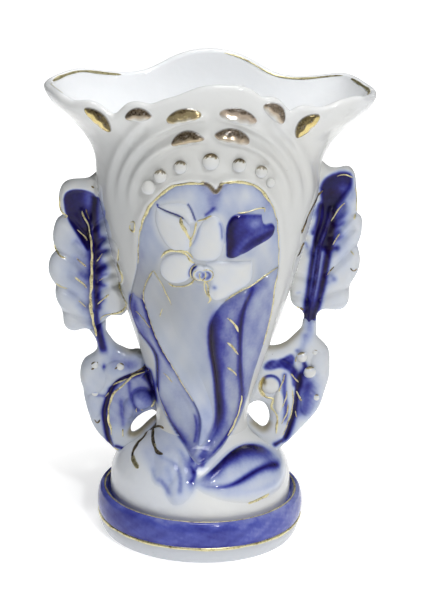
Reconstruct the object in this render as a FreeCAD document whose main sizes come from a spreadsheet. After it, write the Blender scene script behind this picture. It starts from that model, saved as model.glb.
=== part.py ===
import FreeCAD, Part
import os
import Sketcher

# Porcelain mantel vase with two pierced leaf handles and a sprigged flower on its front.
# Frame: +Z up, +X to the vase's right-hand handle as seen from the front, the front faces -Y,
# and the origin is the centre of the circle that the foot ring stands on.  Units: millimetres.

DOC = FreeCAD.newDocument("vase")
SHEET = DOC.addObject("Spreadsheet::Sheet", "sizes")
CELLS = {}
V = FreeCAD.Vector


def cell(alias, value):
    """One driving dimension: a plain number under a name of its own."""
    row = len(CELLS) + 1
    SHEET.set(f"A{row}", alias)
    SHEET.set(f"B{row}", str(value))
    SHEET.setAlias(f"B{row}", alias)
    CELLS[alias] = value


# ---------------------------------------------------------------- driving dimensions

# The vase's outer form, from the stem to the lip: ring name, level, half width, half depth.
BODY_RINGS = [
    ("stem", 52, 22.2, 21.6),
    ("calyx", 60, 21.9, 21.3),
    ("waist", 75, 25.6, 24.0),
    ("bowl_low", 90, 30.2, 27.2),
    ("bowl_mid", 105, 35.2, 30.5),
    ("bowl_high", 122, 40.0, 33.6),
    ("belly", 140, 44.6, 36.4),
    ("shoulder", 158, 48.6, 38.6),
    ("throat", 172, 50.9, 39.8),
    ("neck", 182, 52.0, 40.3),
    ("flare_low", 190, 56.0, 41.3),
    ("flare_mid", 198, 63.4, 43.0),
    ("flare_high", 205, 71.0, 45.0),
    ("lip", 211, 74.6, 46.0),
    ("crest", 222, 76.0, 46.6),
]
# The domed upper foot: ring name, level, radius.
DOME_RINGS = [
    ("dome_base", 18, 42.4),
    ("dome_side", 25, 42.6),
    ("dome_swell", 31, 41.9),
    ("dome_shoulder", 36, 39.6),
    ("dome_round", 40.5, 35.8),
    ("dome_slope", 44, 31.0),
    ("dome_hollow", 47, 26.5),
    ("dome_neck", 50, 23.2),
    ("dome_top", 52, 22.2),
]

for ring, level, half_width, half_depth in BODY_RINGS:
    cell(ring + "_level", level)
    cell(ring + "_width", half_width)
    cell(ring + "_depth", half_depth)
for ring, level, radius in DOME_RINGS:
    cell(ring + "_level", level)
    cell(ring + "_radius", radius)
cell("total_height", 220)
cell("wall", 4)
cell("cavity_floor", 60)
cell("dome_crown", 46)
cell("foot_radius", 46)
cell("ring_radius", 48.3)
cell("ring_level", 8)
cell("band_crest_radius", 46.3)
cell("band_crest_level", 20.4)
cell("band_groove_radius", 43.3)
cell("plinth_bore", 38.2)
cell("panel_relief", 0.8)
cell("leaf_relief", 2.4)
cell("petal_relief", 3.2)
cell("eye_relief", 4)
cell("ruffle_relief", 1.8)
cell("sprig_relief", 2.5)
cell("leaf_thickness", 8)
cell("scroll_thickness", 11)
cell("pearl_radius", 3.4)
cell("berry_radius", 4.4)

FRONT = FreeCAD.Placement(V(0, 0, 0), FreeCAD.Rotation(V(1, 0, 0), 90))
REACH = 60              # how far a cutting prism or block runs out from the mid planes
LARGEST_RADIUS = 100    # above every half width, so that an ellipse's axes never swap while being set
CAVITY_BLOCK_BASE = 40
CROWN_BLOCK_TOP = 70
ABOVE_LIP = 240         # clear of the highest point of the lip
BAND_SWELL = 0.5        # how far the blue band rounds out past the ring below it
BAND_SWELL_SHARE = 0.3  # and at what share of its height
PEARL_PROUD = 0.6       # a pearl's centre stands this far out of the vase's surface
BERRY_PROUD = 0.4
NODES = []


def node(obj, label):
    """Marks a finished sub-part: its label is the name of its file."""
    obj.Label = label
    NODES.append(obj)
    return obj


# ---------------------------------------------------------------- building blocks

def ring_loft(name, rings, grow):
    """A smooth solid through level rings; grow is an expression added to every half width."""
    sections = []
    for ring, level, *sizes in rings:
        section = DOC.addObject("Part::Ellipse", f"{name}_{ring}")
        wide = "width" if len(sizes) == 2 else "radius"
        deep = "depth" if len(sizes) == 2 else "radius"
        section.MajorRadius = LARGEST_RADIUS
        section.setExpression("MinorRadius", f"sizes.{ring}_{deep} + {grow}")
        section.setExpression("MajorRadius", f"sizes.{ring}_{wide} + {grow}")
        section.setExpression("Placement.Base.z", f"sizes.{ring}_level")
        sections.append(section)
    loft = DOC.addObject("Part::Loft", name)
    loft.Sections = sections
    loft.Solid = True
    return loft


def outline(name, runs):
    """A closed outline on the vertical mid plane: each run is smooth, its ends are corners."""
    sketch = DOC.addObject("Sketcher::SketchObject", name + "_outline")
    sketch.Placement = FRONT
    for run in runs:
        points = [V(x, z, 0) for x, z in run]
        if len(points) == 2:
            sketch.addGeometry(Part.LineSegment(*points), False)
        else:
            curve = Part.BSplineCurve()
            curve.interpolate(points)
            sketch.addGeometry(curve, False)
    return sketch


def closed_runs(runs):
    """Joins the runs end to end with straight lines wherever two ends do not meet."""
    chain = []
    for index, run in enumerate(runs):
        chain.append(run)
        following = runs[(index + 1) % len(runs)]
        if run[-1] != following[0]:
            chain.append([run[-1], following[0]])
    return chain


def prism(name, runs, front, back):
    """An outline pushed out to the front and to the back; front and back are expressions."""
    solid = DOC.addObject("Part::Extrusion", name)
    solid.Base = outline(name, closed_runs(runs))
    solid.DirMode = "Custom"
    solid.Dir = V(0, -1, 0)
    solid.Solid = True
    solid.LengthFwd = 1
    solid.setExpression("LengthFwd", front)
    solid.setExpression("LengthRev", back)
    return solid


def cut(name, base, tool):
    result = DOC.addObject("Part::Cut", name)
    result.Base = base
    result.Tool = tool
    return result


def common(name, base, tool):
    result = DOC.addObject("Part::Common", name)
    result.Base = base
    result.Tool = tool
    return result


def join(name, shapes):
    result = DOC.addObject("Part::MultiFuse", name)
    result.Shapes = shapes
    return result


def box(name, low, high):
    """A plain block between two corners, for trimming."""
    block = DOC.addObject("Part::Box", name)
    block.Length, block.Width, block.Height = [b - a for a, b in zip(low, high)]
    block.Placement.Base = V(*low)
    return block


def ball(name, x, y, z, radius):
    sphere = DOC.addObject("Part::Sphere", name)
    sphere.Placement = FreeCAD.Placement(V(x, y, z), FreeCAD.Rotation(V(0, 1, 0), 90))
    sphere.setExpression("Radius", radius)
    return sphere


def body_sizes(level):
    """Half width and half depth of the vase's outer form at a level, between its rings."""
    for low, high in zip(BODY_RINGS, BODY_RINGS[1:]):
        if low[1] <= level <= high[1]:
            share = (level - low[1]) / (high[1] - low[1])
            return [a + share * (b - a) for a, b in zip(low[2:], high[2:])]
    raise ValueError(level)


def front_skin(x, level):
    """The y of the vase's front surface."""
    half_width, half_depth = body_sizes(level)
    return -half_depth * (1 - (x / half_width) ** 2) ** 0.5


# ---------------------------------------------------------------- vase body

form = ring_loft("outer_form", BODY_RINGS, "0")
hollow = ring_loft("inner_form", BODY_RINGS, "-sizes.wall")
floor_cut = box("cavity_floor_block", (-REACH, -REACH, CAVITY_BLOCK_BASE),
                (REACH, REACH, CELLS["cavity_floor"]))
floor_cut.setExpression("Height", f"sizes.cavity_floor - {CAVITY_BLOCK_BASE}")
hollow_above_floor = cut("cavity", hollow, floor_cut)
shell = cut("shell", form, hollow_above_floor)

# The mouth is trimmed to waved lines.  Behind: a tall middle crest, a dip on each side of it and
# a low wave before each tip.  In front: the same crest, then scallops over the gilded ruffles.
CREST = (0, CELLS["total_height"])
RIM_HALF = [(18, 216), (28, 211), (41, 209), (55, 211), (63, 212.3), (72, 211), (80, 210)]
RIM_BEHIND = [(-x, z) for x, z in reversed(RIM_HALF)] + [CREST] + RIM_HALF
RIM_FRONT = [(-80, 210), (-72, 211), (-66, 210.6), (-60, 208.6), (-53, 209.4), (-47, 207.8), (-41, 205),
             (-35, 209), (-30, 211), (-24, 211), (-14, 214.8), (-7, 218), CREST,
             (7, 219.4), (17, 218), (23, 215.2), (28, 213.6), (34.6, 209), (40, 210), (47, 210),
             (55, 212), (61, 213.4), (66.4, 213), (72, 211), (80, 210)]
OVER_RIM = [(80, ABOVE_LIP), (-80, ABOVE_LIP)]
above_front = prism("above_front_rim", [RIM_FRONT, OVER_RIM], f"{REACH}", "0")
above_behind = prism("above_back_rim", [RIM_BEHIND, OVER_RIM], "0", f"{REACH}")
node(cut("vase_body", shell, join("above_rim", [above_front, above_behind])), "vase_body")

# ---------------------------------------------------------------- foot

dome_outer = ring_loft("dome_outer_form", DOME_RINGS, "0")
dome_inner = ring_loft("dome_inner_form", DOME_RINGS, "-sizes.wall")
crown = box("dome_crown_block", (-REACH, -REACH, CELLS["dome_crown"]), (REACH, REACH, CROWN_BLOCK_TOP))
crown.setExpression("Placement.Base.z", "sizes.dome_crown")
dome_cavity = cut("dome_cavity", dome_inner, crown)
node(cut("foot_dome", dome_outer, dome_cavity), "foot_dome")


def plinth():
    """The foot ring and the full blue band above it, which rises round the base of the dome."""
    body = DOC.addObject("PartDesign::Body", "foot_plinth")
    sketch = body.newObject("Sketcher::SketchObject", "plinth_profile")
    plane = [f for f in body.Origin.OriginFeatures if f.Role == "XZ_Plane"][0]
    sketch.AttachmentSupport = [(plane, "")]
    sketch.MapMode = "FlatFace"
    bore, foot, ring = CELLS["plinth_bore"], CELLS["foot_radius"], CELLS["ring_radius"]
    level, top, groove = CELLS["ring_level"], CELLS["dome_base_level"], CELLS["band_groove_radius"]
    crest = V(CELLS["band_crest_radius"], CELLS["band_crest_level"], 0)
    corners = [V(bore, 0, 0), V(foot, 0, 0), V(ring, level, 0), crest, V(groove, top, 0), V(bore, top, 0)]
    sketch.addGeometry(Part.LineSegment(corners[0], corners[1]), False)
    sketch.addGeometry(Part.LineSegment(corners[1], corners[2]), False)
    swell = V(ring + BAND_SWELL, level + BAND_SWELL_SHARE * (crest.y - level), 0)
    sketch.addGeometry(Part.Arc(corners[2], swell, corners[3]), False)
    sketch.addGeometry(Part.LineSegment(corners[3], corners[4]), False)
    sketch.addGeometry(Part.LineSegment(corners[4], corners[5]), False)
    sketch.addGeometry(Part.LineSegment(corners[5], corners[0]), False)
    # The arc may run either way round, so its ends are matched by place.
    start = sketch.getPoint(2, 1)
    arc_low, arc_high = (1, 2) if abs(start.y - level) < 0.01 else (2, 1)
    joints = [(0, 2, 1, 1), (1, 2, 2, arc_low), (2, arc_high, 3, 1), (3, 2, 4, 1), (4, 2, 5, 1), (5, 2, 0, 1)]
    for joint in joints:
        sketch.addConstraint(Sketcher.Constraint("Coincident", *joint))
    places = [
        ("bore_x", "DistanceX", 0, 1, "plinth_bore"),
        ("foot_x", "DistanceX", 0, 2, "foot_radius"),
        ("ring_x", "DistanceX", 1, 2, "ring_radius"),
        ("ring_z", "DistanceY", 1, 2, "ring_level"),
        ("crest_x", "DistanceX", 3, 1, "band_crest_radius"),
        ("crest_z", "DistanceY", 3, 1, "band_crest_level"),
        ("groove_x", "DistanceX", 3, 2, "band_groove_radius"),
        ("groove_z", "DistanceY", 3, 2, "dome_base_level"),
        ("top_x", "DistanceX", 4, 2, "plinth_bore"),
        ("top_z", "DistanceY", 4, 2, "dome_base_level"),
    ]
    sketch.addConstraint(Sketcher.Constraint("PointOnObject", 0, 1, -1))
    sketch.addConstraint(Sketcher.Constraint("Horizontal", 0))
    for name, kind, line, end, alias in places:
        index = sketch.addConstraint(Sketcher.Constraint(kind, -1, 1, line, end, CELLS[alias]))
        sketch.renameConstraint(index, name)
        sketch.setExpression(f"Constraints.{name}", f"sizes.{alias}")
    index = sketch.addConstraint(Sketcher.Constraint("Radius", 2, sketch.Geometry[2].Radius))
    sketch.renameConstraint(index, "band_round")
    turn = body.newObject("PartDesign::Revolution", "plinth_turn")
    turn.Profile = sketch
    turn.ReferenceAxis = (sketch, ["V_Axis"])
    turn.Angle = 360
    return node(body, "foot_plinth")


plinth()

# ---------------------------------------------------------------- raised work on the front

panel_skin = ring_loft("panel_skin", BODY_RINGS, "sizes.panel_relief")
leaf_skin = ring_loft("leaf_skin", BODY_RINGS, "sizes.leaf_relief")
petal_skin = ring_loft("petal_skin", BODY_RINGS, "sizes.petal_relief")
eye_skin = ring_loft("eye_skin", BODY_RINGS, "sizes.eye_relief")

HEART_LEFT = [(3.8, 174), (-3.3, 178.4), (-14, 176.8), (-22, 170), (-27.6, 160), (-30.4, 144),
              (-33.6, 121), (-34.6, 113), (-29.6, 100), (-21.8, 88), (-21, 74), (-19, 65.8),
              (-14, 55), (-13, 52.4)]
HEART_RIGHT = [(14.8, 52.4), (21, 67.4), (25.4, 88), (29.8, 107), (32.2, 124), (33.1, 138),
               (31.7, 155), (27.8, 169), (20.3, 177.3), (10.6, 179.2), (3.8, 174)]
panel_prism = prism("panel_prism", [HEART_LEFT, HEART_RIGHT], f"{REACH}", "0")
panel_plate = common("panel_plate", panel_prism, panel_skin)
node(cut("heart_panel", panel_plate, form), "heart_panel")

# The edges that two neighbouring blades share.
EDGE_LEFT_MIDDLE = [(-26, 117), (-22.6, 106.6), (-13.5, 88.4), (-4.2, 71.4), (-0.8, 61), (-1.8, 53)]
EDGE_MIDDLE_RIGHT = [(2.9, 103), (5.4, 87), (6.9, 70), (6.6, 58.4), (4.7, 53)]

RELIEFS = {
    "blade_leaf_left": ("leaf", [
        [(-32.6, 121), (-33.4, 113), (-28.6, 100), (-21, 88.7), (-20.3, 74), (-18.2, 65.8),
         (-13, 54), (-12.4, 53)],
        EDGE_LEFT_MIDDLE[::-1],
        [(-26, 117), (-32.6, 121)]]),
    "blade_leaf_middle": ("leaf", [
        [(-22.9, 135.3), (-26.2, 128), (-26.9, 121), (-26, 117)],
        EDGE_LEFT_MIDDLE,
        EDGE_MIDDLE_RIGHT[::-1],
        [(2.9, 103), (-6, 109), (-15, 120), (-22.9, 135.3)]]),
    "blade_leaf_right": ("leaf", [
        [(32.3, 136.6), (23.5, 131.4), (11.3, 124.6), (4.4, 115.6), (2.9, 103)],
        EDGE_MIDDLE_RIGHT,
        [(14, 53), (20.2, 67.6), (24.6, 88), (29, 107), (31.4, 124), (32.3, 136.6)]]),
    "cobalt_leaf": ("leaf", [
        [(9, 146.4), (8.6, 152), (8.8, 158), (12, 163.8), (18, 164.3), (23.9, 163.6)],
        [(23.9, 163.6), (25.4, 159.2), (29.9, 156.8)],
        [(29.9, 156.8), (25.6, 150.5), (18, 146.2), (11.4, 143.8), (9, 146.4)]]),
    "flower_petal_top": ("petal", [
        [(-7, 147), (-3.6, 158.4), (2.3, 163.5), (7, 158.6), (7.9, 152), (4.6, 143), (-0.2, 142),
         (-4.4, 142.8), (-7, 147)]]),
    "flower_petal_upper_left": ("petal", [
        [(-22, 163.4), (-15, 163), (-9.9, 160.6), (-7.6, 158.4)],
        [(-7.6, 158.4), (-6.8, 153), (-8.4, 146), (-13.2, 146), (-18.4, 150.6), (-21.6, 156),
         (-22, 163.4)]]),
    "flower_bud_petal": ("petal", [
        [(-21.8, 166.2), (-14, 168.6), (-8.6, 167.8), (-5.4, 161.4)],
        [(-5.4, 161.4), (-7.6, 159.2), (-10, 161.4), (-15, 163.8), (-21.8, 166.2)]]),
    "flower_petal_lower_left": ("petal", [
        [(-19.8, 138), (-17.6, 143), (-12.2, 145.2), (-7.8, 144.6), (-4.8, 141.6), (-5.8, 138)],
        [(-5.8, 138), (-6.9, 134), (-10, 131.4), (-15.4, 131), (-19, 134), (-19.8, 138)]]),
    "flower_petal_lower_right": ("petal", [
        [(1.6, 141.2), (10, 141.3), (20.4, 141.6)],
        [(20.4, 141.6), (20.6, 133), (15, 127.4), (6, 123.2), (1.6, 126)],
        [(1.6, 126), (2.6, 133), (1.6, 141.2)]]),
    "flower_eye": ("eye", [
        [(-1.6, 131.9), (-5.8, 136), (-1.6, 140.4), (2.7, 136), (-1.6, 131.9)]]),
}
SKINS = {"leaf": leaf_skin, "petal": petal_skin, "eye": eye_skin}


def relief(name):
    """A sprig pressed onto the heart panel: it follows the panel and stands proud of it."""
    skin, runs = RELIEFS[name]
    block = prism(name + "_prism", runs, f"{REACH}", "0")
    return cut(name + "_sprig", common(name + "_plate", block, SKINS[skin]), panel_skin)


sprigs = {name: relief(name) for name in RELIEFS}
# Where two sprigs press against each other, the lower one is cut back for the upper one.
TRIMS = {
    "flower_petal_lower_right": "flower_eye",
    "flower_petal_upper_left": "flower_petal_top",
}
for name, piece in sprigs.items():
    if name in TRIMS:
        piece = cut(name + "_trimmed", piece, sprigs[TRIMS[name]])
    node(piece, name)

# ---------------------------------------------------------------- gilded collar ruffles and pearls

# Each ruffle is a short raised dab: the centre, how far its ends reach and how they slope.
RUFFLES = [(-47.6, 203.6, 7.2, -46), (-30.6, 207.6, 5.6, 10), (-11, 209, 7.4, 14), (12.6, 209.6, 7.8, -13),
           (28.4, 210, 5.6, -42), (41.8, 204.4, 6.6, 48), (-9, 198.6, 6.6, 12), (10.2, 200, 7.2, -10)]
RUFFLE_HEIGHT = 2.6


def ruffle(index, x, level, reach, slope):
    """An oval cushion lying on the flare of the neck."""
    oval = DOC.addObject("Part::Ellipse", f"ruffle_oval_{index}")
    oval.MajorRadius = reach
    oval.MinorRadius = RUFFLE_HEIGHT
    turn = FreeCAD.Placement(V(x, 0, level), FreeCAD.Rotation(V(0, 1, 0), -slope))
    oval.Placement = turn.multiply(FRONT)
    block = DOC.addObject("Part::Extrusion", f"ruffle_block_{index}")
    block.Base = oval
    block.DirMode = "Custom"
    block.Dir = V(0, -1, 0)
    block.Solid = True
    block.LengthFwd = REACH
    return block


ruffle_skin = ring_loft("ruffle_skin", BODY_RINGS, "sizes.ruffle_relief")
ruffle_blocks = join("ruffle_blocks", [ruffle(i, *place) for i, place in enumerate(RUFFLES)])
ruffle_plate = common("ruffle_plate", ruffle_blocks, ruffle_skin)
node(cut("collar_ruffles", ruffle_plate, form), "collar_ruffles")

# Seven pearls in an arch over the heart: place across, level, size against the largest.
PEARLS = [(0.8, 188.2, 1.15), (13.4, 186.2, 1), (-11.7, 184.2, 0.9), (23.1, 183.6, 0.82),
          (-20.4, 180.2, 0.86), (27.3, 178.2, 0.7), (-25.2, 174.4, 0.94)]
pearl_balls = []
for index, (x, level, share) in enumerate(PEARLS):
    whole = ball(f"pearl_ball_{index}", x, front_skin(x, level) - PEARL_PROUD, level,
                 f"sizes.pearl_radius * {share}")
    pearl_balls.append(cut(f"pearl_{index}", whole, form))
node(join("pearls", pearl_balls), "pearls")

# ---------------------------------------------------------------- sprigs on the domed foot

sprig_skin = ring_loft("dome_sprig_skin", DOME_RINGS, "sizes.sprig_relief")
FOOT_LEAF = [[(0.5, 28.2), (6, 37), (11, 44), (17, 46.4), (24, 45.4), (31, 41), (36, 34.4), (39, 28),
              (39.6, 24), (38, 21.2), (33.6, 20), (26, 20.2), (12, 22), (3, 25.6), (0.5, 28.2)]]
FOOT_BUD = [[(-3.4, 38), (-2.2, 32), (-3.6, 25.4), (-8, 20.8), (-12.4, 20), (-16.2, 24.6), (-21, 26),
             (-21.6, 30), (-20.6, 38), (-17, 44.4), (-9.6, 44.8), (-3.4, 38)]]
for name, runs in (("foot_leaf", FOOT_LEAF), ("foot_bud", FOOT_BUD)):
    block = prism(name + "_prism", runs, f"{REACH}", "0")
    node(cut(name, common(name + "_plate", block, sprig_skin), dome_outer), name)

# ---------------------------------------------------------------- handles

HANDLES = {
    "left": {
        "leaf": [
            [(-44, 172.6), (-52, 170.8), (-61, 169), (-66.8, 165), (-67.9, 159), (-66.9, 152)],
            [(-66.9, 152), (-70.3, 144), (-69.5, 134.6)],
            [(-69.5, 134.6), (-72.6, 126), (-69.4, 117.4)],
            [(-69.4, 117.4), (-68.4, 109.6), (-65.3, 100), (-63.7, 96.8), (-59.3, 96), (-53.6, 96)],
            [(-53.6, 96), (-45.8, 101.6)],
            [(-45.8, 101.6), (-43, 104.6), (-39, 105.4), (-33.5, 104), (-25, 104)],
            [(-25, 104), (-30, 160), (-44, 172.6)]],
        "scroll": [
            [(-53.6, 96), (-50.6, 92), (-50.2, 87), (-55, 82.7), (-57.5, 75), (-55.6, 64), (-52.2, 51),
             (-47, 42.6), (-40, 36), (-30, 34)],
            [(-30, 34), (-12, 48), (-16, 86)],
            [(-16, 86), (-33.5, 86.6), (-39, 88.4), (-44.4, 93), (-46, 98), (-45.8, 101.6)]],
        "gap": [
            [(-17, 60), (-22, 58.4), (-27, 57.6), (-31.4, 54.2), (-34.4, 48.6), (-34.6, 42)],
            [(-34.6, 42), (-17, 48)]],
        "berries": [(-28.6, 62.8, 0.95), (-36, 60, 0.6), (-50.6, 80.4, 0.62), (-39, 79.6, 0.7),
                    (-50.6, 68, 0.66)],
    },
    "right": {
        "leaf": [
            [(46, 183), (52.4, 179), (59.3, 178), (64.6, 177.6), (67.3, 171.6), (68.4, 160)],
            [(68.4, 160), (71.3, 150), (69.6, 140.6)],
            [(69.6, 140.6), (70.8, 131), (67, 119.4), (66.4, 113), (63.4, 110), (54, 109.4),
             (52.3, 106.6), (52, 102)],
            [(52, 102), (45.8, 103)],
            [(45.8, 103), (45.6, 108), (43, 110.4), (38, 110), (34, 108), (25, 108)],
            [(25, 108), (32, 168), (46, 183)]],
        "scroll": [
            [(52, 102), (52.4, 96), (58, 90), (59.3, 78), (56, 63), (50, 53.4), (41, 43.4), (36, 38),
             (28, 36)],
            [(28, 36), (12, 48), (18, 91)],
            [(18, 91), (31.6, 90.4), (36, 91.4), (41, 94.6), (45, 99.4), (45.8, 103)]],
        "gap": [
            [(17, 60), (22, 64.6), (26.4, 65.4), (30, 63.6), (32.2, 58), (31.6, 52), (29, 48.6),
             (24.6, 49.6), (17, 55)],
            [(17, 55), (17, 60)]],
        "berries": [(32.2, 73.4, 0.86), (38.4, 66.6, 0.72), (46.4, 86.6, 0.62), (50.4, 80.4, 0.7),
                    (52.4, 68, 0.6)],
    },
}
HALF_LEAF = "sizes.leaf_thickness / 2"
HALF_SCROLL = "sizes.scroll_thickness / 2"
carrier = join("vase_and_dome_form", [form, dome_outer])


def handle(side):
    """A broad leaf above, and a pierced scroll with berries that lands on the dome below."""
    sizes = HANDLES[side]
    leaf = prism(f"{side}_leaf_prism", sizes["leaf"], HALF_LEAF, HALF_LEAF)
    node(cut(f"{side}_handle_leaf", leaf, form), f"{side}_handle_leaf")
    scroll = prism(f"{side}_scroll_prism", sizes["scroll"], HALF_SCROLL, HALF_SCROLL)
    gap = prism(f"{side}_gap_prism", sizes["gap"], f"{REACH}", f"{REACH}")
    pierced = cut(f"{side}_pierced_scroll", cut(f"{side}_scroll_blank", scroll, gap), carrier)
    node(pierced, f"{side}_handle_scroll")
    front = -CELLS["scroll_thickness"] / 2
    balls = [ball(f"{side}_berry_{i}", x, front - BERRY_PROUD, z, f"sizes.berry_radius * {share}")
             for i, (x, z, share) in enumerate(sizes["berries"])]
    on_scroll = cut(f"{side}_berries_on_scroll", join(f"{side}_berry_balls", balls), scroll)
    node(cut(f"{side}_handle_berries", on_scroll, form), f"{side}_handle_berries")


handle("left")
handle("right")

# ---------------------------------------------------------------- check and write

DOC.recompute()
for obj in DOC.Objects:
    if "Invalid" in obj.State or "Error" in obj.State:
        raise SystemExit(f"{obj.Name} failed: {obj.State}")
for obj in NODES:
    if obj.Shape.isNull() or not obj.Shape.isValid() or not obj.Shape.Solids:
        raise SystemExit(f"{obj.Label} has no valid solid")

os.makedirs("parts", exist_ok=True)
for obj in NODES:
    size = obj.Shape.optimalBoundingBox()
    print(f"{obj.Label:26s} solids {len(obj.Shape.Solids)}  volume {obj.Shape.Volume / 1000:8.3f} cm3  "
          f"x {size.XMin:.1f}..{size.XMax:.1f}  y {size.YMin:.1f}..{size.YMax:.1f}  "
          f"z {size.ZMin:.1f}..{size.ZMax:.1f}")
    obj.Shape.exportStep(f"parts/{obj.Label}.step")
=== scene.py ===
import math

import bpy
import numpy as np
from mathutils import Matrix, Vector


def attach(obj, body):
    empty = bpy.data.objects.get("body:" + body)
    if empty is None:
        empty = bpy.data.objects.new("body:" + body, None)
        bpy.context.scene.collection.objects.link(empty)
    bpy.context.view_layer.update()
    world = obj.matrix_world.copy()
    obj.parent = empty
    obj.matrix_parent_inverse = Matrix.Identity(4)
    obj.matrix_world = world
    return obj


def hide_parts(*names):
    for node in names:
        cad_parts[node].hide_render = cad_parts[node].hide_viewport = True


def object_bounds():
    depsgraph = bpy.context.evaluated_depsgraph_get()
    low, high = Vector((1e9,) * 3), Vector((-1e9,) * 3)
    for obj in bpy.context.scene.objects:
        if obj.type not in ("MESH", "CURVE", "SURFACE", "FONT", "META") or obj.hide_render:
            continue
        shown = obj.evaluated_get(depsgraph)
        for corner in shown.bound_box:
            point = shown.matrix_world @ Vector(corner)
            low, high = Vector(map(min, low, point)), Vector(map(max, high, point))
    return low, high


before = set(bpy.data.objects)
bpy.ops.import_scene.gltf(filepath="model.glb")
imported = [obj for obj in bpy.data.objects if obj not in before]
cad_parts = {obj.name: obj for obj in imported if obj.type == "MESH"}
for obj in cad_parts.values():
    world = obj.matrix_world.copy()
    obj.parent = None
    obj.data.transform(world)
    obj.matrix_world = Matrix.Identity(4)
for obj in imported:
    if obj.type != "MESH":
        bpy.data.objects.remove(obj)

# A porcelain mantel vase: hollow flared body on a domed foot, two pierced leaf handles, and a
# raised flower spray painted in cobalt and gilt.  Drawn in millimetres, in the frame's axes:
# +Z up, the front faces -Y, and made in metres at the very end of each mesh.

CAD_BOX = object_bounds()
DRAWN_HEIGHT = 220.0
MM = (CAD_BOX[1].z - CAD_BOX[0].z) / DRAWN_HEIGHT
FAR_OFF = 9.0  # past this distance an outline has no effect

# ------------------------------------------------------------------ curves and distances


def spline(knots, values):
    """A function: the smooth curve that passes through the values at the knots."""
    knots, values = np.array(knots, float), np.array(values, float)
    count, gap = len(knots), np.diff(knots)
    matrix, right_side = np.eye(count), np.zeros(count)
    for i in range(1, count - 1):
        matrix[i, i - 1:i + 2] = gap[i - 1], 2 * (gap[i - 1] + gap[i]), gap[i]
        slopes = np.diff(values[i - 1:i + 2]) / gap[i - 1:i + 1]
        right_side[i] = 6 * (slopes[1] - slopes[0])
    bend = np.linalg.solve(matrix, right_side)

    def at(where):
        where = np.clip(where, knots[0], knots[-1])
        i = np.clip(np.searchsorted(knots, where) - 1, 0, count - 2)
        past, left = where - knots[i], knots[i + 1] - where
        cubic = (bend[i] * left ** 3 + bend[i + 1] * past ** 3) / (6 * gap[i])
        start = (values[i] / gap[i] - bend[i] * gap[i] / 6) * left
        end = (values[i + 1] / gap[i] - bend[i + 1] * gap[i] / 6) * past
        return cubic + start + end

    return at


def run(points, step=0.7, skip=0):
    """Points a step apart on the smooth line through a few given ones, less skip of them at each end."""
    points = np.array(points, float)
    reach = np.r_[0, np.cumsum(np.hypot(*np.diff(points, axis=0).T))]
    start, end = reach[skip], reach[len(reach) - 1 - skip]
    places = np.linspace(start, end, max(2, int((end - start) / step) + 1))
    return np.stack([spline(reach, column)(places) for column in points.T], 1)


def outline(*runs):
    """A closed outline of smooth runs that meet at corners; one run alone closes smoothly."""
    if len(runs) == 1:
        ring = np.array(runs[0], float)
        return run(np.vstack([ring[-3:], ring, ring[:4]]), skip=3)[:-1]
    return np.vstack([run(points)[:-1] for points in runs])


def near(x, y, line):
    """For each place: its distance to a line, the share of the way along, and its side."""
    x, y = np.asarray(x, float), np.asarray(y, float)
    place = np.stack([x.ravel(), y.ravel()], 1)
    start, step = line[:-1], np.diff(line, axis=0)
    size = np.maximum((step ** 2).sum(1), 1e-12)
    best = np.full(len(place), np.inf)
    along, side = np.zeros(len(place)), np.zeros(len(place))
    for i in range(len(start)):
        off = place - start[i]
        share = np.clip(off @ step[i] / size[i], 0, 1)
        gap = ((off - share[:, None] * step[i]) ** 2).sum(1)
        closer = gap < best
        best = np.where(closer, gap, best)
        along = np.where(closer, (i + share) / len(start), along)
        cross = step[i][0] * off[:, 1] - step[i][1] * off[:, 0]
        side = np.where(closer, np.sign(cross), side)
    return np.sqrt(best).reshape(x.shape), along.reshape(x.shape), side.reshape(x.shape)


def within_box(x, y, line, margin):
    """Which places are within a margin of the box round a line."""
    low, high = line.min(0) - margin, line.max(0) + margin
    return (x > low[0]) & (x < high[0]) & (y > low[1]) & (y < high[1])


def depth_inside(x, y, shape):
    """How far each place is inside a closed outline; negative outside, down to -FAR_OFF."""
    x, y = np.asarray(x, float), np.asarray(y, float)
    close = within_box(x, y, shape, FAR_OFF)
    depth = np.full(x.shape, -FAR_OFF)
    if not close.any():
        return depth
    x, y = x[close], y[close]
    closed = np.vstack([shape, shape[:1]])
    gap = near(x, y, closed)[0]
    inside = np.zeros(len(x), bool)
    for (xa, ya), (xb, yb) in zip(closed[:-1], closed[1:]):
        if ya != yb:
            crosses = (ya > y) != (yb > y)
            inside ^= crosses & (x < (xb - xa) * (y - ya) / (yb - ya) + xa)
    depth[close] = np.where(inside, gap, np.maximum(-gap, -FAR_OFF))
    return depth


def unit(vectors):
    """The same directions, one long."""
    return vectors / np.linalg.norm(vectors, axis=-1, keepdims=True)


def ease(value, low=0.0, high=1.0):
    """0 below low, 1 above high, smooth between."""
    share = np.clip((value - low) / (high - low), 0, 1)
    return share * share * (3 - 2 * share)


def hump(value, width):
    """1 at zero, fading off on both sides over a width."""
    return np.exp(-(value / width) ** 2)


def beside(x, y, points, width):
    """1 on the smooth line through a few points, fading off over a width."""
    return hump(near(x, y, run(points))[0], width)


def pillow(inside, width):
    """A rounded edge: 0 at the outline, 1 a width inside, and sinking away outside."""
    share = np.clip(inside / width, 0, 1)
    return np.where(inside < 0, 0.6 * inside / width, np.sqrt(1 - (1 - share) ** 2))


def ripple(x, y, size, seed=0.0):
    """A soft uneven pattern from -1 to 1, made of a few crossed waves."""
    x, y = x / size, y / size
    waves = (np.sin(x * 1.7 + seed) * np.cos(y * 1.3 - seed * 2)
             + 0.6 * np.sin(x * 2.9 - y * 2.1 + seed * 3)
             + 0.4 * np.cos(x * 4.7 + y * 5.3 + seed * 5))
    return waves / 2


# ------------------------------------------------------------------ the vase's form

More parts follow.
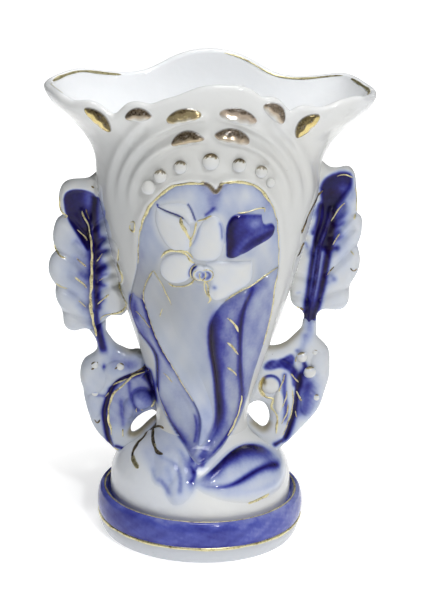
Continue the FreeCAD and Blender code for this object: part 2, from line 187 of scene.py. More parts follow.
# The outer form by its run up the front: run, level, half width, half depth.
FORM = [
    (8.8, 17.5, 42.4, 42.4), (12.3, 21, 42.8, 42.8), (17.3, 26, 42.6, 42.6), (22.4, 31, 41.9, 41.9),
    (27.9, 36, 39.6, 39.6), (33.8, 40.5, 35.8, 35.8), (39.7, 44, 31, 31), (45.1, 47, 26.5, 26.5),
    (49.6, 50, 23.2, 23.2), (54, 54, 21.8, 21.4), (60, 60, 21.9, 21.3), (75, 75, 25.6, 24),
    (90, 90, 30.2, 27.2), (105, 105, 35.2, 30.5), (122, 122, 40, 33.6), (140, 140, 44.6, 36.4),
    (158, 158, 48.6, 38.6), (172, 172, 50.9, 39.8), (182, 182, 52, 40.3), (190, 190, 56, 41.3),
    (198, 198, 63.4, 43), (205, 205, 71, 45), (211, 211, 74.6, 46), (222, 222, 76, 46.6),
]
RUN = [row[0] for row in FORM]
LEVEL, WIDE, DEEP = [spline(RUN, [row[k] for row in FORM]) for k in (1, 2, 3)]
STEM, FLARE = 52.0, 186.0
WALL, FLOOR = 4.0, 60.0

# The lip's height across the width: waved behind, and scalloped in front over the gilded ruffles.
LIP_BEHIND = [(0, 220), (18, 216), (28, 211), (41, 209), (55, 211), (63, 212.3), (72, 211), (80, 210)]
LIP_FRONT = [(-80, 210), (-72, 211), (-66.5, 210.6), (-60, 208.4), (-53, 209.6), (-47.3, 207.6),
             (-41.6, 204.4), (-38.4, 206), (-35.2, 209.6), (-30.6, 211), (-24.7, 210.6), (-20, 212.6),
             (-13.9, 214.8), (-6.3, 218.2), (0, 220), (9, 220.2), (17.4, 218.4), (22.4, 215.2),
             (27.4, 215), (31.4, 211.6), (34.6, 208.6), (38.4, 210.2), (46.8, 210), (50.5, 210.2),
             (56, 212.4), (61, 213.6), (66.4, 213.4), (72, 211), (80, 210)]


def crest(line):
    return spline([x for x, z in line], [z for x, z in line])


LIP_HEIGHT = {"front": crest(LIP_FRONT),
              "behind": crest([(-x, z) for x, z in LIP_BEHIND[:0:-1]] + LIP_BEHIND)}


def corner_swell(angle, where):
    """The mouth bulges at its four corners, more the higher up."""
    off = np.abs(np.abs(np.abs(angle) - math.pi / 2) - math.radians(41))
    return 0.09 * hump(off, math.radians(15)) * ease(where, 192, 212)


def form_point(angle, where):
    swell = 1 + corner_swell(angle, where)
    return np.stack([WIDE(where) * swell * np.sin(angle), -DEEP(where) * swell * np.cos(angle),
                     LEVEL(where) * np.ones_like(angle)], -1)


def form_normal(angle, where):
    small = 1e-3
    across = form_point(angle + small, where) - form_point(angle - small, where)
    up = form_point(angle, where + small * 20) - form_point(angle, where - small * 20)
    return unit(np.cross(across, up))


def angle_of(x, where):
    """The angle at which the front of the form stands at x."""
    angle = np.arcsin(np.clip(x / WIDE(where), -1, 1))
    for _ in range(3):
        angle = np.arcsin(np.clip(x / WIDE(where) / (1 + corner_swell(angle, where)), -1, 1))
    return angle


# ------------------------------------------------------------------ raised work, by place

# Outlines on the front, as places (across, run up the front).
HEART = outline(
    [(3.8, 174), (1.6, 176.6), (-3.3, 178.3), (-9.8, 177.9), (-14.4, 176.6), (-18, 173.9), (-22, 169.8),
     (-25.5, 164.7), (-27.7, 159.6), (-29.6, 152.5), (-30.4, 143.6), (-31, 134), (-33, 124),
     (-33.8, 114), (-29.4, 101), (-22, 92), (-20.9, 84), (-20.6, 74), (-18.4, 65.8), (-13.4, 56.6),
     (-8, 49.1), (-4.6, 42.3), (-1, 38)],
    [(-1, 38), (4, 41), (12, 50), (18, 59), (21, 68), (22.4, 76), (25.2, 88), (27, 95), (29.6, 107),
     (31.2, 119), (32.4, 131), (33, 138), (32.6, 147), (31.6, 155), (30.2, 162.8), (27.6, 168.7),
     (24.3, 173.7), (20.4, 177), (16.3, 178.8), (10.6, 179), (6.4, 177.6), (3.8, 174)])
EDGE_A = [(-32.6, 122.4), (-33.8, 114), (-32.2, 107), (-28.9, 100.7), (-21.8, 91.9), (-20.7, 86),
          (-20.5, 74), (-18.2, 65.6), (-13.2, 56.4), (-7.8, 49.2), (-4.4, 42.3)]
EDGE_B = [(-22.9, 135.3), (-26, 128.1), (-26.9, 121.2), (-25, 114), (-22.6, 106.6), (-18.6, 97),
          (-13.5, 88.4), (-8.3, 78.9), (-3.8, 71), (-0.9, 62.5), (-1.2, 52.2), (-3, 42.4)]
EDGE_C = [(32.4, 136.7), (28.5, 135), (23.5, 131.4), (17.8, 128.3), (11.3, 124.6), (7.2, 120.6),
          (4, 114.6), (3, 107), (3.8, 97), (5.5, 86.8), (6.8, 74), (7.4, 66.5), (5.5, 53.5), (2.4, 48.5),
          (-0.7, 42.5)]
EDGE_D = [(32.4, 136.7), (31.5, 130), (30.9, 119.7), (29.2, 106.9), (26.3, 93.3), (24.8, 88.2), (22, 75.6),
          (20.4, 67.6), (16.6, 58.6), (10, 48.6), (2.6, 40)]
MIDRIB_C = [(23.4, 132), (20.2, 126.7), (18.1, 120), (16.9, 114.3), (16.4, 106), (16.6, 94.6), (17.3, 82),
            (17.9, 69), (16.1, 61.4), (12.6, 53.8), (8, 47.3), (2.4, 39.2)]
BLADE_A = outline(EDGE_A, [(-4.4, 42.3), (-3, 42.4)], EDGE_B[:2:-1],
                  [(-25, 114), (-27, 119), (-32.6, 122.4)])
BLADE_B = outline(EDGE_B, [(-3, 42.4), (-0.7, 42.5)], EDGE_C[:7:-1],
                  [(3.8, 97), (-2, 104), (-9, 112), (-14.5, 119.3), (-16.9, 124.9), (-19.8, 130.7),
                   (-22.9, 135.3)])
BLADE_C = outline(EDGE_C, [(-0.7, 42.5), (2.6, 40)], EDGE_D[::-1])
COBALT_LEAF = outline(
    [(9, 146.4), (8.7, 151), (8.6, 157), (9.6, 161.2), (12, 163.9), (15.6, 164.4), (20, 164),
     (23.9, 163.6)],
    [(23.9, 163.6), (24.2, 161), (25.4, 158.9), (28.4, 158.9), (29.9, 156.8)],
    [(29.9, 156.8), (29.1, 153.4), (25.6, 150.5), (21.2, 148.2), (18, 146.2), (14.3, 144.4), (11, 143.6),
     (9.3, 144.4), (9, 146.4)])
PETALS = {
    "flower_petal_top": outline(
        [(-7, 147), (-5.3, 152), (-3.4, 158), (-0.7, 161.6), (2.6, 163.6), (5.6, 162.6), (7, 158.6),
         (7.9, 152), (7.2, 146.4), (4.6, 143), (-0.2, 142), (-4.6, 142.8)]),
    "flower_petal_upper_left": outline(
        [(-21.8, 166), (-17, 164.2), (-10.3, 161.6), (-7.2, 158.4)],
        [(-7.2, 158.4), (-6.6, 153), (-8.4, 146.6), (-13.2, 146), (-18.4, 150), (-21.3, 155.6),
         (-22.6, 161.4), (-21.8, 166)]),
    "flower_bud_petal": outline(
        [(-21.8, 166.4), (-18, 168), (-14, 168.8), (-8.7, 168), (-6.4, 164.4), (-5.1, 160.6)],
        [(-5.1, 160.6), (-7.7, 159), (-10, 161.6), (-15.2, 164), (-21.8, 166.4)]),
    "flower_petal_lower_left": outline(
        [(-20.2, 137), (-19.4, 140.6), (-17, 143.6), (-12.2, 145.4), (-7.8, 144.6), (-4.4, 141.2),
         (-5.6, 137.6), (-6.9, 133.6), (-10, 131.2), (-15.2, 130.6), (-19, 133.2)]),
    "flower_petal_lower_right": outline(
        [(-0.4, 141.6), (4.2, 142.6), (10, 142.4), (20.6, 142)],
        [(20.6, 142), (21, 136), (20.2, 131.8), (15.7, 128.2), (10.4, 124.9), (4.7, 123), (0.8, 126.6)],
        [(0.8, 126.6), (2.4, 133), (-0.4, 141.6)]),
}
EYE = (-2.2, 136.5)
EYE_SECOND = (0.5, 136.3)
FOOT_LEAF = outline(
    [(-3.2, 28.6), (1, 32), (6.1, 37.6), (11.1, 43.4), (17, 46.4), (23.6, 44.6), (30.6, 38.4),
     (35.8, 32.2), (39, 27)],
    [(39, 27), (39.9, 23.5), (38.5, 20.4), (34.5, 18.6), (27, 18.2), (17.3, 19.6), (7.7, 22.6),
     (1.2, 25.6), (-3.2, 28.6)])
FOOT_BUD = outline(
    [(-3.4, 39), (-2, 33), (-2.7, 28), (-4, 24.4), (-6.4, 20.8), (-9.4, 18.8), (-12, 18.6), (-14.4, 21.4),
     (-16.4, 25.4), (-20.4, 26.2), (-22, 29), (-20.6, 33.6), (-21, 39.6), (-16.6, 45.2), (-9.6, 45.6)])
# Concentric arches of rocaille ridges over the pearls: half width, rise, height of the ridge, and
# how far from the middle it starts.
ARCH_CENTRE = (1.0, 165.0)
ARCHES = [(35.3, 35.0, 2.1, -1.0), (40.4, 43.6, 2.0, -1.0), (45.4, 53.0, 1.7, 24.0)]
# Gilded ruffles: across, up, half length, half height, slope in degrees.
# Then: the dark share of its height, which is a painted reflection along its top, how bronze that is, and
# how far the rest has gone to lustre.
RUFFLES = [
    (-47.6, 204.4, 7.4, 3.0, -44, 0.44, 1.0, 0.1), (-30.6, 208.2, 5.6, 2.8, 10, 0.50, 1.0, 0.75),
    (-11, 209.2, 7.4, 2.6, 14, 0.26, 0.9, 0.4), (12.6, 209.8, 8.0, 2.8, -13, 0.28, 0.9, 0.9),
    (28.4, 211.2, 5.6, 3.1, -42, 0.50, 0.85, 0.8), (41.8, 204.8, 6.8, 3.3, 48, 0.46, 0.95, 0.05),
    (-9, 198.8, 6.8, 3.1, 12, 0.38, 0.95, 0.7), (10.2, 200.4, 7.4, 2.9, -10, 0.42, 0.9, 0.8)]
# Pearls: across, up, size and how much of the top is gilt.
PEARL_RADIUS = 4.0
PEARLS = [(1.2, 188.4, 0.94, 1.0), (13.4, 186.8, 0.78, 1.0), (-11.8, 185.2, 0.74, 0.9),
          (23, 183.4, 0.68, 0.8), (-20.4, 180.2, 0.74, 0.8), (27.2, 177.9, 0.52, 0.0),
           (-25.4, 174.4, 0.8, 0.0)]


def arch_rise(x, where):
    """The ridges that sweep down both sides of the pearls, thinning out as they fall."""
    rise = np.zeros(np.shape(x))
    across, up = x - ARCH_CENTRE[0], where - ARCH_CENTRE[1]
    for half, tall, height, start in ARCHES:
        ring = np.hypot(across / half, up / tall)
        off = (ring - 1) * np.hypot(across, up) / np.maximum(ring, 1e-6)
        fade = ease(up, -6, 16) * ease(np.abs(across), start, start + 6)
        fade = fade * (1 - 0.6 * hump(across, 2.6)) * (1 - 0.35 * ease(np.abs(across), 16, 34))
        rise = rise + height * (hump(off, 1.9) - 0.35 * hump(off + 3.4, 1.6)) * fade
    return rise


def panel_rise(x, where):
    inside = depth_inside(x, where, HEART)
    pinch = 1.1 * hump(np.hypot(x - 3.8, where - 175.2), 2.0)
    return np.where(inside < 0, 0.5 * inside, 0.55 * ease(inside, 0, 1.2)) - pinch


def frame_rise(x, where):
    """The soft bead of white porcelain round the top of the heart."""
    inside = depth_inside(x, where, HEART)
    return 0.9 * hump(inside + 1.4, 1.8) * ease(where, 128, 160)


def body_rise(x, where):
    return arch_rise(x, where) + frame_rise(x, where)


def blade_rise(name, x, where):
    """The three long leaves: proud along their gilded edges, sunk at the dark creases."""
    fade = 0.12 + 0.88 * ease(where, 42, 60)
    if name == "blade_leaf_left":
        edge = near(x, where, run(EDGE_B))[0]
        shape = depth_inside(x, where, BLADE_A)
        return fade * (1.6 * pillow(shape, 2.0) - 0.9 * hump(edge - 3.6, 2.4))
    if name == "blade_leaf_middle":
        edge = near(x, where, run(EDGE_B))[0]
        shape = depth_inside(x, where, BLADE_B)
        proud = 0.12 + 2.3 * np.exp(-edge / 5.5) - 0.5 * beside(x, where, EDGE_C, 4)
        return fade * proud * pillow(shape, 1.4)
    edge = near(x, where, run(EDGE_C))[0]
    shape = depth_inside(x, where, BLADE_C)
    proud = 0.9 + 1.5 * np.exp(-(edge - 3) ** 2 / 14)
    return fade * (proud * pillow(shape, 2.6) - beside(x, where, MIDRIB_C, 1.5))


def sprig_rise(name, x, where):
    """Height above the vase's form of one raised piece of the front."""
    if name == "heart_panel":
        return panel_rise(x, where)
    if name.startswith("blade"):
        return blade_rise(name, x, where)
    if name in PETALS:
        return 0.1 + 2.0 * pillow(depth_inside(x, where, PETALS[name]), 5.0)
    if name == "cobalt_leaf":
        shape = depth_inside(x, where, COBALT_LEAF)
        fold = beside(x, where, [(14.5, 143), (19, 152), (24, 158)], 1.2)
        return 0.4 + 1.7 * pillow(shape, 2.2) - 0.5 * fold
    if name == "flower_eye":
        off = np.hypot(x - EYE[0], where - EYE[1])
        second = np.hypot(x - EYE_SECOND[0], where - EYE_SECOND[1])
        rings = np.maximum(hump(off - 2.2, 0.8), hump(second - 2.1, 0.8))
        return 2.2 + 0.7 * rings - 2.6 * ease(np.minimum(off, second), 3.0, 4.4)
    if name == "foot_leaf":
        shape = depth_inside(x, where, FOOT_LEAF)
        rib = beside(x, where, [(0, 26.8), (12, 28), (20, 30.4), (25, 32.6), (31, 32.8), (37, 30)], 1.6)
        return 1.7 * ease(shape, -1.2, 4.6) - 0.5 * rib * ease(shape, 0, 3)
    shape = depth_inside(x, where, FOOT_BUD)
    fold = beside(x, where, [(-11, 44), (-10, 34), (-15, 26)], 1.3)
    return 1.4 * ease(shape, -1.2, 5.0) - 0.5 * fold * ease(shape, 0, 3)


SPRIGS = {
    "heart_panel": (HEART, "pale_blue_wash", 0.55),
    "blade_leaf_left": (BLADE_A, "cobalt_wash", 0.4),
    "blade_leaf_middle": (BLADE_B, "pale_blue_wash", 0.4),
    "blade_leaf_right": (BLADE_C, "pale_blue_wash", 0.4),
    "cobalt_leaf": (COBALT_LEAF, "cobalt_wash", 0.35),
    **{name: (shape, "porcelain", 0.35) for name, shape in PETALS.items()},
    "flower_eye": (outline([(-6.6, 136.5), (-5, 132.9), (-1, 131.6), (3.4, 132.8), (4.8, 136.3), (3.4, 140),
                            (-1, 141.2), (-5, 140.1)]), "gilding", 0.25),
    "foot_leaf": (FOOT_LEAF, "cobalt_wash", 0.4),
    "foot_bud": (FOOT_BUD, "pale_blue_wash", 0.4),
}


def front_height(x, where):
    """The highest raised work at each place of the front, for what is laid on top of it."""
    best = body_rise(x, where)
    for name, (shape, _, _) in SPRIGS.items():
        close = within_box(x, where, shape, 1)
        if close.any():
            best[close] = np.maximum(best[close], sprig_rise(name, x[close], where[close]))
    return best


# ------------------------------------------------------------------ brushwork


STROKE_REACH = 3.2  # in widths: past it a stroke is too faint to see


def stroke(x, y, points, strength, left, right=None, start=0.0, end=0.0, sharp=2.0):
    """A brush stroke: its blue fades off over a width on its left and on its right side."""
    right = left if right is None else right
    line = run(points, 1.0)
    close = within_box(x, y, line, STROKE_REACH * max(left, right))
    laid = np.zeros(np.shape(x))
    if not close.any():
        return laid
    gap, along, side = near(x[close], y[close], line)
    taper = np.ones(len(gap))
    if start:
        taper = taper * ease(along, 0, start)
    if end:
        taper = taper * (1 - ease(along, 1 - end, 1))
    laid[close] = strength * taper * np.exp(-(gap / np.where(side > 0, left, right)) ** sharp)
    return laid


def strokes(x, y, table):
    """The strokes of a table: their points, strength, width on the left and on the right, then the
    share of the line over which they start and end, and how sharply their sides stop."""
    return [stroke(x, y, *row) for row in table]


def spot(x, y, x0, y0, wide, tall):
    """A soft oval patch: 1 in its middle, fading off over its half width and half height."""
    return hump(np.hypot((x - x0) / wide, (y - y0) / tall), 1)


def spots(x, y, table):
    """The patches of a table: their strength, place, half width and half height."""
    return [strength * spot(x, y, *row) for strength, *row in table]


def over(*layers):
    """Washes laid over each other: each covers part of what is still white."""
    clear = 1.0
    for layer in layers:
        clear = clear * (1 - np.clip(layer, 0, 0.999))
    return 1 - clear


def petal_cover(x, where):
    """Where the flower hides what is painted behind it."""
    cover = np.zeros(np.shape(x))
    for shape in PETALS.values():
        cover = np.maximum(cover, ease(depth_inside(x, where, shape), -3.0, 0.4))
    return np.maximum(cover, ease(-np.hypot(x + 0.9, where - 136.5), -6.8, -5.0))


WASH_SPOTS = [(0.22, 2.6, 168, 3.6, 8), (-0.13, -12, 171, 8, 4.4), (-0.13, 16.5, 172, 8.6, 4.2),
              (-0.12, 26.5, 148, 3, 9)]
FRONT_STROKES = [
    (EDGE_A[:4], 0.97, 1.4, 1.2, 0.2, 0, 2.4),
    (EDGE_A[3:7], 0.97, 1.6, 1.3, 0, 0, 2.4),
    (EDGE_A[6:], 0.94, 2.5, 1, 0.3, 0.4, 1.6),
    ([(-31, 121), (-30.6, 112), (-27.4, 104)], 0.45, 1.2, 1.2, 0.3, 0.4),
    (EDGE_B[2:8], 0.9, 0.5, 1.6, 0, 0.4, 1.5),
    (EDGE_B[6:], 0.4, 0.7, 0.9, 0.2, 0.2),
    (EDGE_C[5:], 0.99, 2.6, 1.5, 0.16, 0.45),
    ([(9.5, 121), (5.6, 112), (5, 100), (7, 84), (8.4, 70)], 0.36, 4.2, 1.6, 0.2, 0.4),
    ([(6.5, 82), (7.4, 72), (7.2, 63), (5.2, 56), (2.6, 49.7), (0, 42.8)], 0.58, 1.5, 1.2, 0.2, 0.5),
    ([(-3.9, 66.2), (-2.5, 61.7), (-2.1, 55.8), (-3.3, 48.8)], 0.5, 0.8, 0.8, 0.2, 0.1),
    (MIDRIB_C[:9], 0.9, 1.1, 1.5, 0.12, 0.2, 1.7),
    (MIDRIB_C[7:], 0.46, 0.9, 0.9, 0, 0.3),
    ([(28, 128), (28.6, 116), (26.4, 102), (23.6, 90)], 0.14, 1.6, 1.6, 0.3, 0.3),
    ([(-26, 83), (-24.4, 77), (-23, 69), (-22, 61)], 0.93, 2.2, 2.2, 0.1, 0.2, 3),
    ([(-0.4, 164), (1.2, 165.3), (2.6, 167)], 0.55, 0.7, 1.2),
    ([(-21.6, 167), (-20.5, 165.2), (-18, 164.4), (-14.3, 163.7), (-10.3, 161.7)], 0.85, 0.6, 0.5),
    ([(-8.3, 168.4), (-6.9, 166.4), (-6, 164), (-4.9, 161.3)], 0.7, 0.5, 0.4),
    ([(-0.6, 178.2), (1.8, 176.3), (3.6, 175), (5.2, 176.2), (6, 178)], 0.7, 0.8, 0.6),
    ([(4.4, 162.4), (6.6, 159.4), (7.4, 156.4), (7.8, 151)], 0.3, 0.6),
]
FRONT_SPOTS = [(0.5, 1.2, 39, 1.2, 3), (0.5, -3.4, 36, 2.2, 3.4), (0.22, -1, 43, 6, 6)]


def front_blue(x, where):
    """How much cobalt lies on each place of the front, from 0 to 1."""
    heart = depth_inside(x, where, HEART)
    a_in, b_in, c_in = [ease(depth_inside(x, where, s), -0.6, 0.6) for s in (BLADE_A, BLADE_B, BLADE_C)]
    within = np.maximum(ease(heart, -0.5, 0.4), b_in)
    wash = 0.22 + 0.05 * ripple(x, where, 9, 1) + 0.06 * ripple(x * 2.2, where, 8, 6)
    wash = wash + 0.10 * beside(x, where, [(7, 124), (1.6, 114), (0.6, 102), (1.6, 88)], 4)
    wash = wash - 0.07 * beside(x, where, [(-18, 120), (-14, 106), (-8, 92)], 4)
    wash = wash + 0.10 * ease(-where, -74, -52) + 0.06 * ease(where, 150, 172)
    wash = wash + 0.09 * hump(heart - 1.2, 2.6) * (1 - b_in) + sum(spots(x, where, WASH_SPOTS))
    wash = wash + 0.10 * hump(x + 27, 4) * ease(-where, -150, -138)
    wash = wash * within * (1 - 0.72 * petal_cover(x, where))
    leaf = ease(depth_inside(x, where, COBALT_LEAF), -0.35, 0.5)
    leaf_tone = 0.74 + 0.06 * ripple(x, where, 2.4, 2) - 0.36 * spot(x, where, 20.5, 160.6, 4.6, 3.2)
    leaf_tone = leaf_tone - 0.12 * beside(x, where, [(13, 146), (16, 150.6), (20, 154), (27, 157)], 1.4)
    leaf_tone = leaf_tone + 0.20 * hump(x - 10.4, 2.4)
    leaf_tone = leaf_tone + 0.16 * hump(where - 0.55 * x - 140, 2.0) * ease(x, 13, 19)
    layers = [
        np.clip(wash, 0, 1),
        leaf * leaf_tone,
        a_in * (0.10 * ease(where, 78, 110) + 0.15) * (1 - 0.25 * ripple(x, where, 6, 3)),
        c_in * ease(where, 66, 112) * 0.20 * ease(16.6 - x, -1, 2.4) * (1 + 0.12 * ripple(x, where, 5, 9)),
        c_in * (0.27 + 0.10 * ease(where, 84, 130)) * (1 - 0.62 * ease(x - 0.05 * where, 17.5, 23.5))
        * (1 + 0.34 * ripple(x * 1.8, where, 8, 5)),
        *strokes(x, where, FRONT_STROKES),
        *spots(x, where, FRONT_SPOTS),
    ]
    return over(*layers)


FRONT_VIOLET = [
    (EDGE_C[6:12], 0.95, 1, 0.7, 0.2, 0.3),
    ([(-33.4, 121), (-34, 114), (-32.6, 107.6), (-28.6, 101)], 0.95, 0.9, 0.9, 0.15, 0.3),
    ([(-27, 97), (-22.4, 91), (-21.2, 84), (-20.6, 74)], 0.7, 0.8, 0.8, 0.2, 0.3),
    (EDGE_B[3:7], 0.5, 0.4, 0.6, 0.2, 0.3),
    ([(-20.6, 165.8), (-16, 164), (-10.6, 162)], 0.8, 0.5, 0.4),
    ([(-8.2, 168), (-6.4, 164.8), (-5.2, 161.6)], 0.7, 0.5, 0.4),
]


def front_violet(x, where):
    """Where the cobalt pooled so thick that it fired to a brownish violet."""
    return np.clip(sum(strokes(x, where, FRONT_VIOLET)) + 0.7 * spot(x, where, 10.4, 151, 1.2, 6), 0, 1)


def notch(x, where):
    """Dark worn gilding in the dip at the top of the heart; its darkness also paints the dip's shade."""
    return np.clip(stroke(x, where, [(-2, 178.3), (1.2, 177), (3.8, 174.4), (5, 175.8), (6, 178.2)],
                          1.15, 0.95, 0.95, sharp=4), 0, 0.94)


def front_ash(name, x, where):
    """Where the wash has fired grey instead of blue."""
    if name == "heart_panel":
        ash = 0.16 + 0.42 * ease(-where, -156, -122) + 0.14 * ease(-x, 4, 22)
    elif name == "blade_leaf_left":
        ash = 0.34 + 0.1 * ease(-where, -84, -64)
    elif name == "blade_leaf_middle":
        ash = (0.58 + 0.14 * ripple(x * 1.6, where, 10, 3)) * ease(where, 60, 90)
    elif name == "blade_leaf_right":
        ash = 0.30 * ease(18 - x, -2, 4) + 0.34
    else:
        ash = 0.0
    dark = stroke(x, where, EDGE_C[5:], 1.0, 3.2, 1.8)
    return np.clip(ash * (1 - dark) + 0 * x, 0, 1)


FOOT_WASH = outline(
    [(-21.2, 52), (-25.2, 44.1), (-28, 36), (-24.6, 31.5), (-21.5, 28.4), (-20, 26.4), (-17.5, 25.6),
     (-15.6, 22.6), (-14.1, 19.8), (-12, 17.6), (-9.4, 17.8), (-7.6, 18.8), (-5, 21.1), (-2.6, 25.4),
     (-1.6, 31), (-2.4, 40), (-6, 48), (-16, 58)])


FOOT_LEAF_TOP = [(-3, 28.8), (1.7, 31.4), (7.6, 36.6), (13, 42), (18.4, 44.8), (24, 43), (31, 36.9),
    (36.8, 30)]


FOOT_LEAF_RIB = [(-2.9, 28.1), (3.8, 27.3), (10.6, 26.8), (17.3, 28.3), (22.7, 30.4), (28.2, 31.4),
    (33.8, 30.2), (38.4, 27)]


FOOT_STROKES = [
    ([(6, 24.6), (16, 23.6), (26, 23), (36, 23.6)], 0.13, 1.8, 1.8, 0.3, 0.1),
    (FOOT_LEAF_TOP, 0.95, 0.9, 4, 0.26, 0.3, 2.2),
    (FOOT_LEAF_TOP[2:7], 0.74, 1, 7.4, 0.3, 0.5),
    (FOOT_LEAF_RIB, 0.8, 1.1, 1.1, 0.5, 0.12, 1.6),
    (FOOT_LEAF_RIB[2:], 0.5, 1.8, 2.6, 0.4, 0.2),
    ([(-22.4, 34), (-21.4, 31), (-20, 28.4), (-17.4, 27)], 0.2, 1.3, 1.3, 0.3, 0.2),
    ([(-14.4, 39.6), (-11.3, 36.2), (-9.1, 32), (-8.5, 27), (-9.2, 21.6)], 0.36, 1.3, 1.3, 0.3, 0.2),
    ([(-19.4, 30), (-17, 27.4), (-14.6, 24.6), (-12.6, 20.6)], 0.34, 1.5, 1.5, 0.3, 0.3),
    ([(-16, 36), (-13.6, 31), (-12.6, 26)], 0.16, 1.6, 1.6, 0.3, 0.3),
    ([(-11, 47), (-8, 42), (-6.6, 37), (-5.4, 30), (-5.4, 24)], 0.22, 1.4, 1.4, 0.2, 0.3),
    ([(-20.4, 42), (-18, 39), (-15, 38), (-12, 34)], 0.16, 1.4, 1.4, 0.2, 0.3),
    ([(-3.8, 36), (-2.4, 33.1), (-3.7, 29.5)], 0.5, 1),
    ([(6, 52), (2.4, 48.5), (0, 42.8), (-1.8, 36.2)], 0.5, 1.1),
    ([(12.1, 52.1), (8.8, 47.9), (4.1, 41.9), (0.8, 37.9)], 0.36, 0.8, 0.8, 0.2),
    ([(-10, 52), (-7.6, 49), (-4.6, 44), (-2.8, 36)], 0.66, 1.2, 1, 0, 0.3),
    ([(9, 50), (6, 44), (1.6, 38)], 0.2, 3),
]
FOOT_SPOTS = [(0.12, 33, 33, 4, 3), (0.7, -2.9, 34, 1.2, 1.5), (0.45, -4.6, 38, 1.6, 4),
    (0.35, -3.4, 30, 2, 5), (0.6, 0.6, 38.4, 1.6, 2.6)]


def foot_blue(x, where):
    """The painting on the dome, by the same places."""
    leaf = depth_inside(x, where, FOOT_LEAF)
    wash = depth_inside(x, where, FOOT_WASH)
    under = ease(-where, -30, -19)
    layers = [
        ease(leaf, -2.4, 2.6) * (0.24 - 0.13 * under),
        0.08 * ease(-x, -6, 22) * ease(where, 8, 14),
        ease(wash, -2.6, 4.0) * (0.17 + 0.05 * ripple(x, where, 6, 6)),
        *strokes(x, where, FOOT_STROKES),
        *spots(x, where, FOOT_SPOTS),
    ]
    return over(*layers)


# ------------------------------------------------------------------ building meshes


def grid_faces(rows, columns, wrap=False):
    """Four-cornered faces between the places of a grid; wrap joins the last column to the first."""
    index = np.arange(rows * columns).reshape(rows, columns)
    if wrap:
        index = np.hstack([index, index[:, :1]])
    return np.stack([index[:-1, :-1], index[:-1, 1:], index[1:, 1:], index[1:, :-1]], -1).reshape(-1, 4)


def capped_faces(count, columns):
    """The faces of a ring of rows, closed by a fan at each end.

    The points at the middles of the two fans come last: the first row's, then the last row's.
    """
    faces = [list(face) for face in grid_faces(count, columns, True)]
    first, last, top = count * columns, count * columns + 1, (count - 1) * columns
    for i in range(columns):
        following = (i + 1) % columns
        faces.append([first, following, i])
        faces.append([last, top + i, top + following])
    return faces


def border_edges(faces):
    """The directed edges that only one face has."""
    edges = np.vstack([faces[:, [i, (i + 1) % 4]] for i in range(4)])
    size = faces.max() + 1
    forward, backward = edges[:, 0] * size + edges[:, 1], edges[:, 1] * size + edges[:, 0]
    return edges[~np.isin(forward, backward)]


class Shape:
    """Points in millimetres, faces, and painted values for each point, gathered into one mesh."""

    def __init__(self):
        self.points, self.faces, self.values, self.count = [], [], {}, 0

    def add(self, points, faces, **values):
        """Adds a part; each of the values has a number for each of its points."""
        points = np.asarray(points, float).reshape(-1, 3)
        self.faces += [[int(i) + self.count for i in face] for face in faces]
        self.points.append(points)
        for name, value in values.items():
            self.values.setdefault(name, []).append((self.count, value.ravel()))
        self.count += len(points)

    def build(self, name, material, slot, nodes=(), corner=50):
        """Makes the piece, in metres, riding on the vase's one body."""
        mesh = bpy.data.meshes.new(name)
        mesh.from_pydata((np.vstack(self.points) * MM).tolist(), [], self.faces)
        for key, parts in self.values.items():
            data = np.zeros(self.count, np.float32)
            for start, value in parts:
                data[start:start + len(value)] = value
            mesh.attributes.new(key, "FLOAT", "POINT").data.foreach_set("value", data)
        mesh.polygons.foreach_set("use_smooth", [True] * len(mesh.polygons))
        mesh.set_sharp_from_angle(angle=math.radians(corner))
        mesh.materials.append(material)
        thing = bpy.data.objects.new(name, mesh)
        bpy.context.scene.collection.objects.link(thing)
        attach(thing, "root")
        if nodes:
            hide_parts(*nodes)
        return thing


def add_plate(shape, top, bottom, faces, back=1, **values):
    """A closed plate: its two skins and the wall between them; back is the paint's share behind."""
    used, packed = np.unique(faces, return_inverse=True)
    packed = packed.reshape(faces.shape)
    size = len(used)
    edge = border_edges(packed)
    wall = np.stack([edge[:, 1], edge[:, 0], edge[:, 0] + size, edge[:, 1] + size], 1)
    shape.add(np.vstack([top.reshape(-1, 3)[used], bottom.reshape(-1, 3)[used]]),
              np.vstack([packed, packed[:, ::-1] + size, wall]),
              **{key: np.outer((1, back), value.ravel()[used]) for key, value in values.items()})


def on_form(x, where, height):
    """Places a height above the vase's form, by place on the front."""
    angle = angle_of(x, where)
    return form_point(angle, where) + form_normal(angle, where) * np.asarray(height)[..., None]


def cells(shape, step, margin):
    """A square grid over an outline, and the faces whose middles are within a margin of it."""
    low, high = shape.min(0) - margin - step, shape.max(0) + margin + step
    x, y = np.meshgrid(np.arange(low[0], high[0], step), np.arange(low[1], high[1], step))
    middle = depth_inside(x[:-1, :-1] + step / 2, y[:-1, :-1] + step / 2, shape)
    return x, y, grid_faces(*x.shape)[(middle > -margin).ravel()]


# ------------------------------------------------------------------ materials

COBALT = [(0.0, (216, 217, 215)), (0.12, (202, 208, 219)), (0.3, (170, 181, 210)), (0.5, (116, 126, 182)),
          (0.63, (80, 87, 162)), (0.76, (50, 51, 136)), (0.88, (30, 24, 98)), (1.0, (14, 7, 50))]
BAND = [(0.0, (226, 227, 230)), (0.3, (154, 162, 208)), (0.6, (78, 86, 166)), (0.8, (48, 50, 130)),
        (1.0, (26, 24, 90))]
VIOLET = (34, 10, 40)
OLIVE = (150, 138, 98)
ASH_AND_SHADE_GREY = (160, 166, 174)
PAINTED_LIGHT_WHITE = (247, 249, 251)
GOLD = (214, 196, 132)
BRONZE = (44, 30, 16)
LUSTRE = (188, 172, 158)


def linear(colour):
    """An 8-bit colour as Blender's linear values."""
    share = np.array(colour) / 255
    return (*np.where(share <= 0.04045, share / 12.92, ((share + 0.055) / 1.055) ** 2.4), 1)


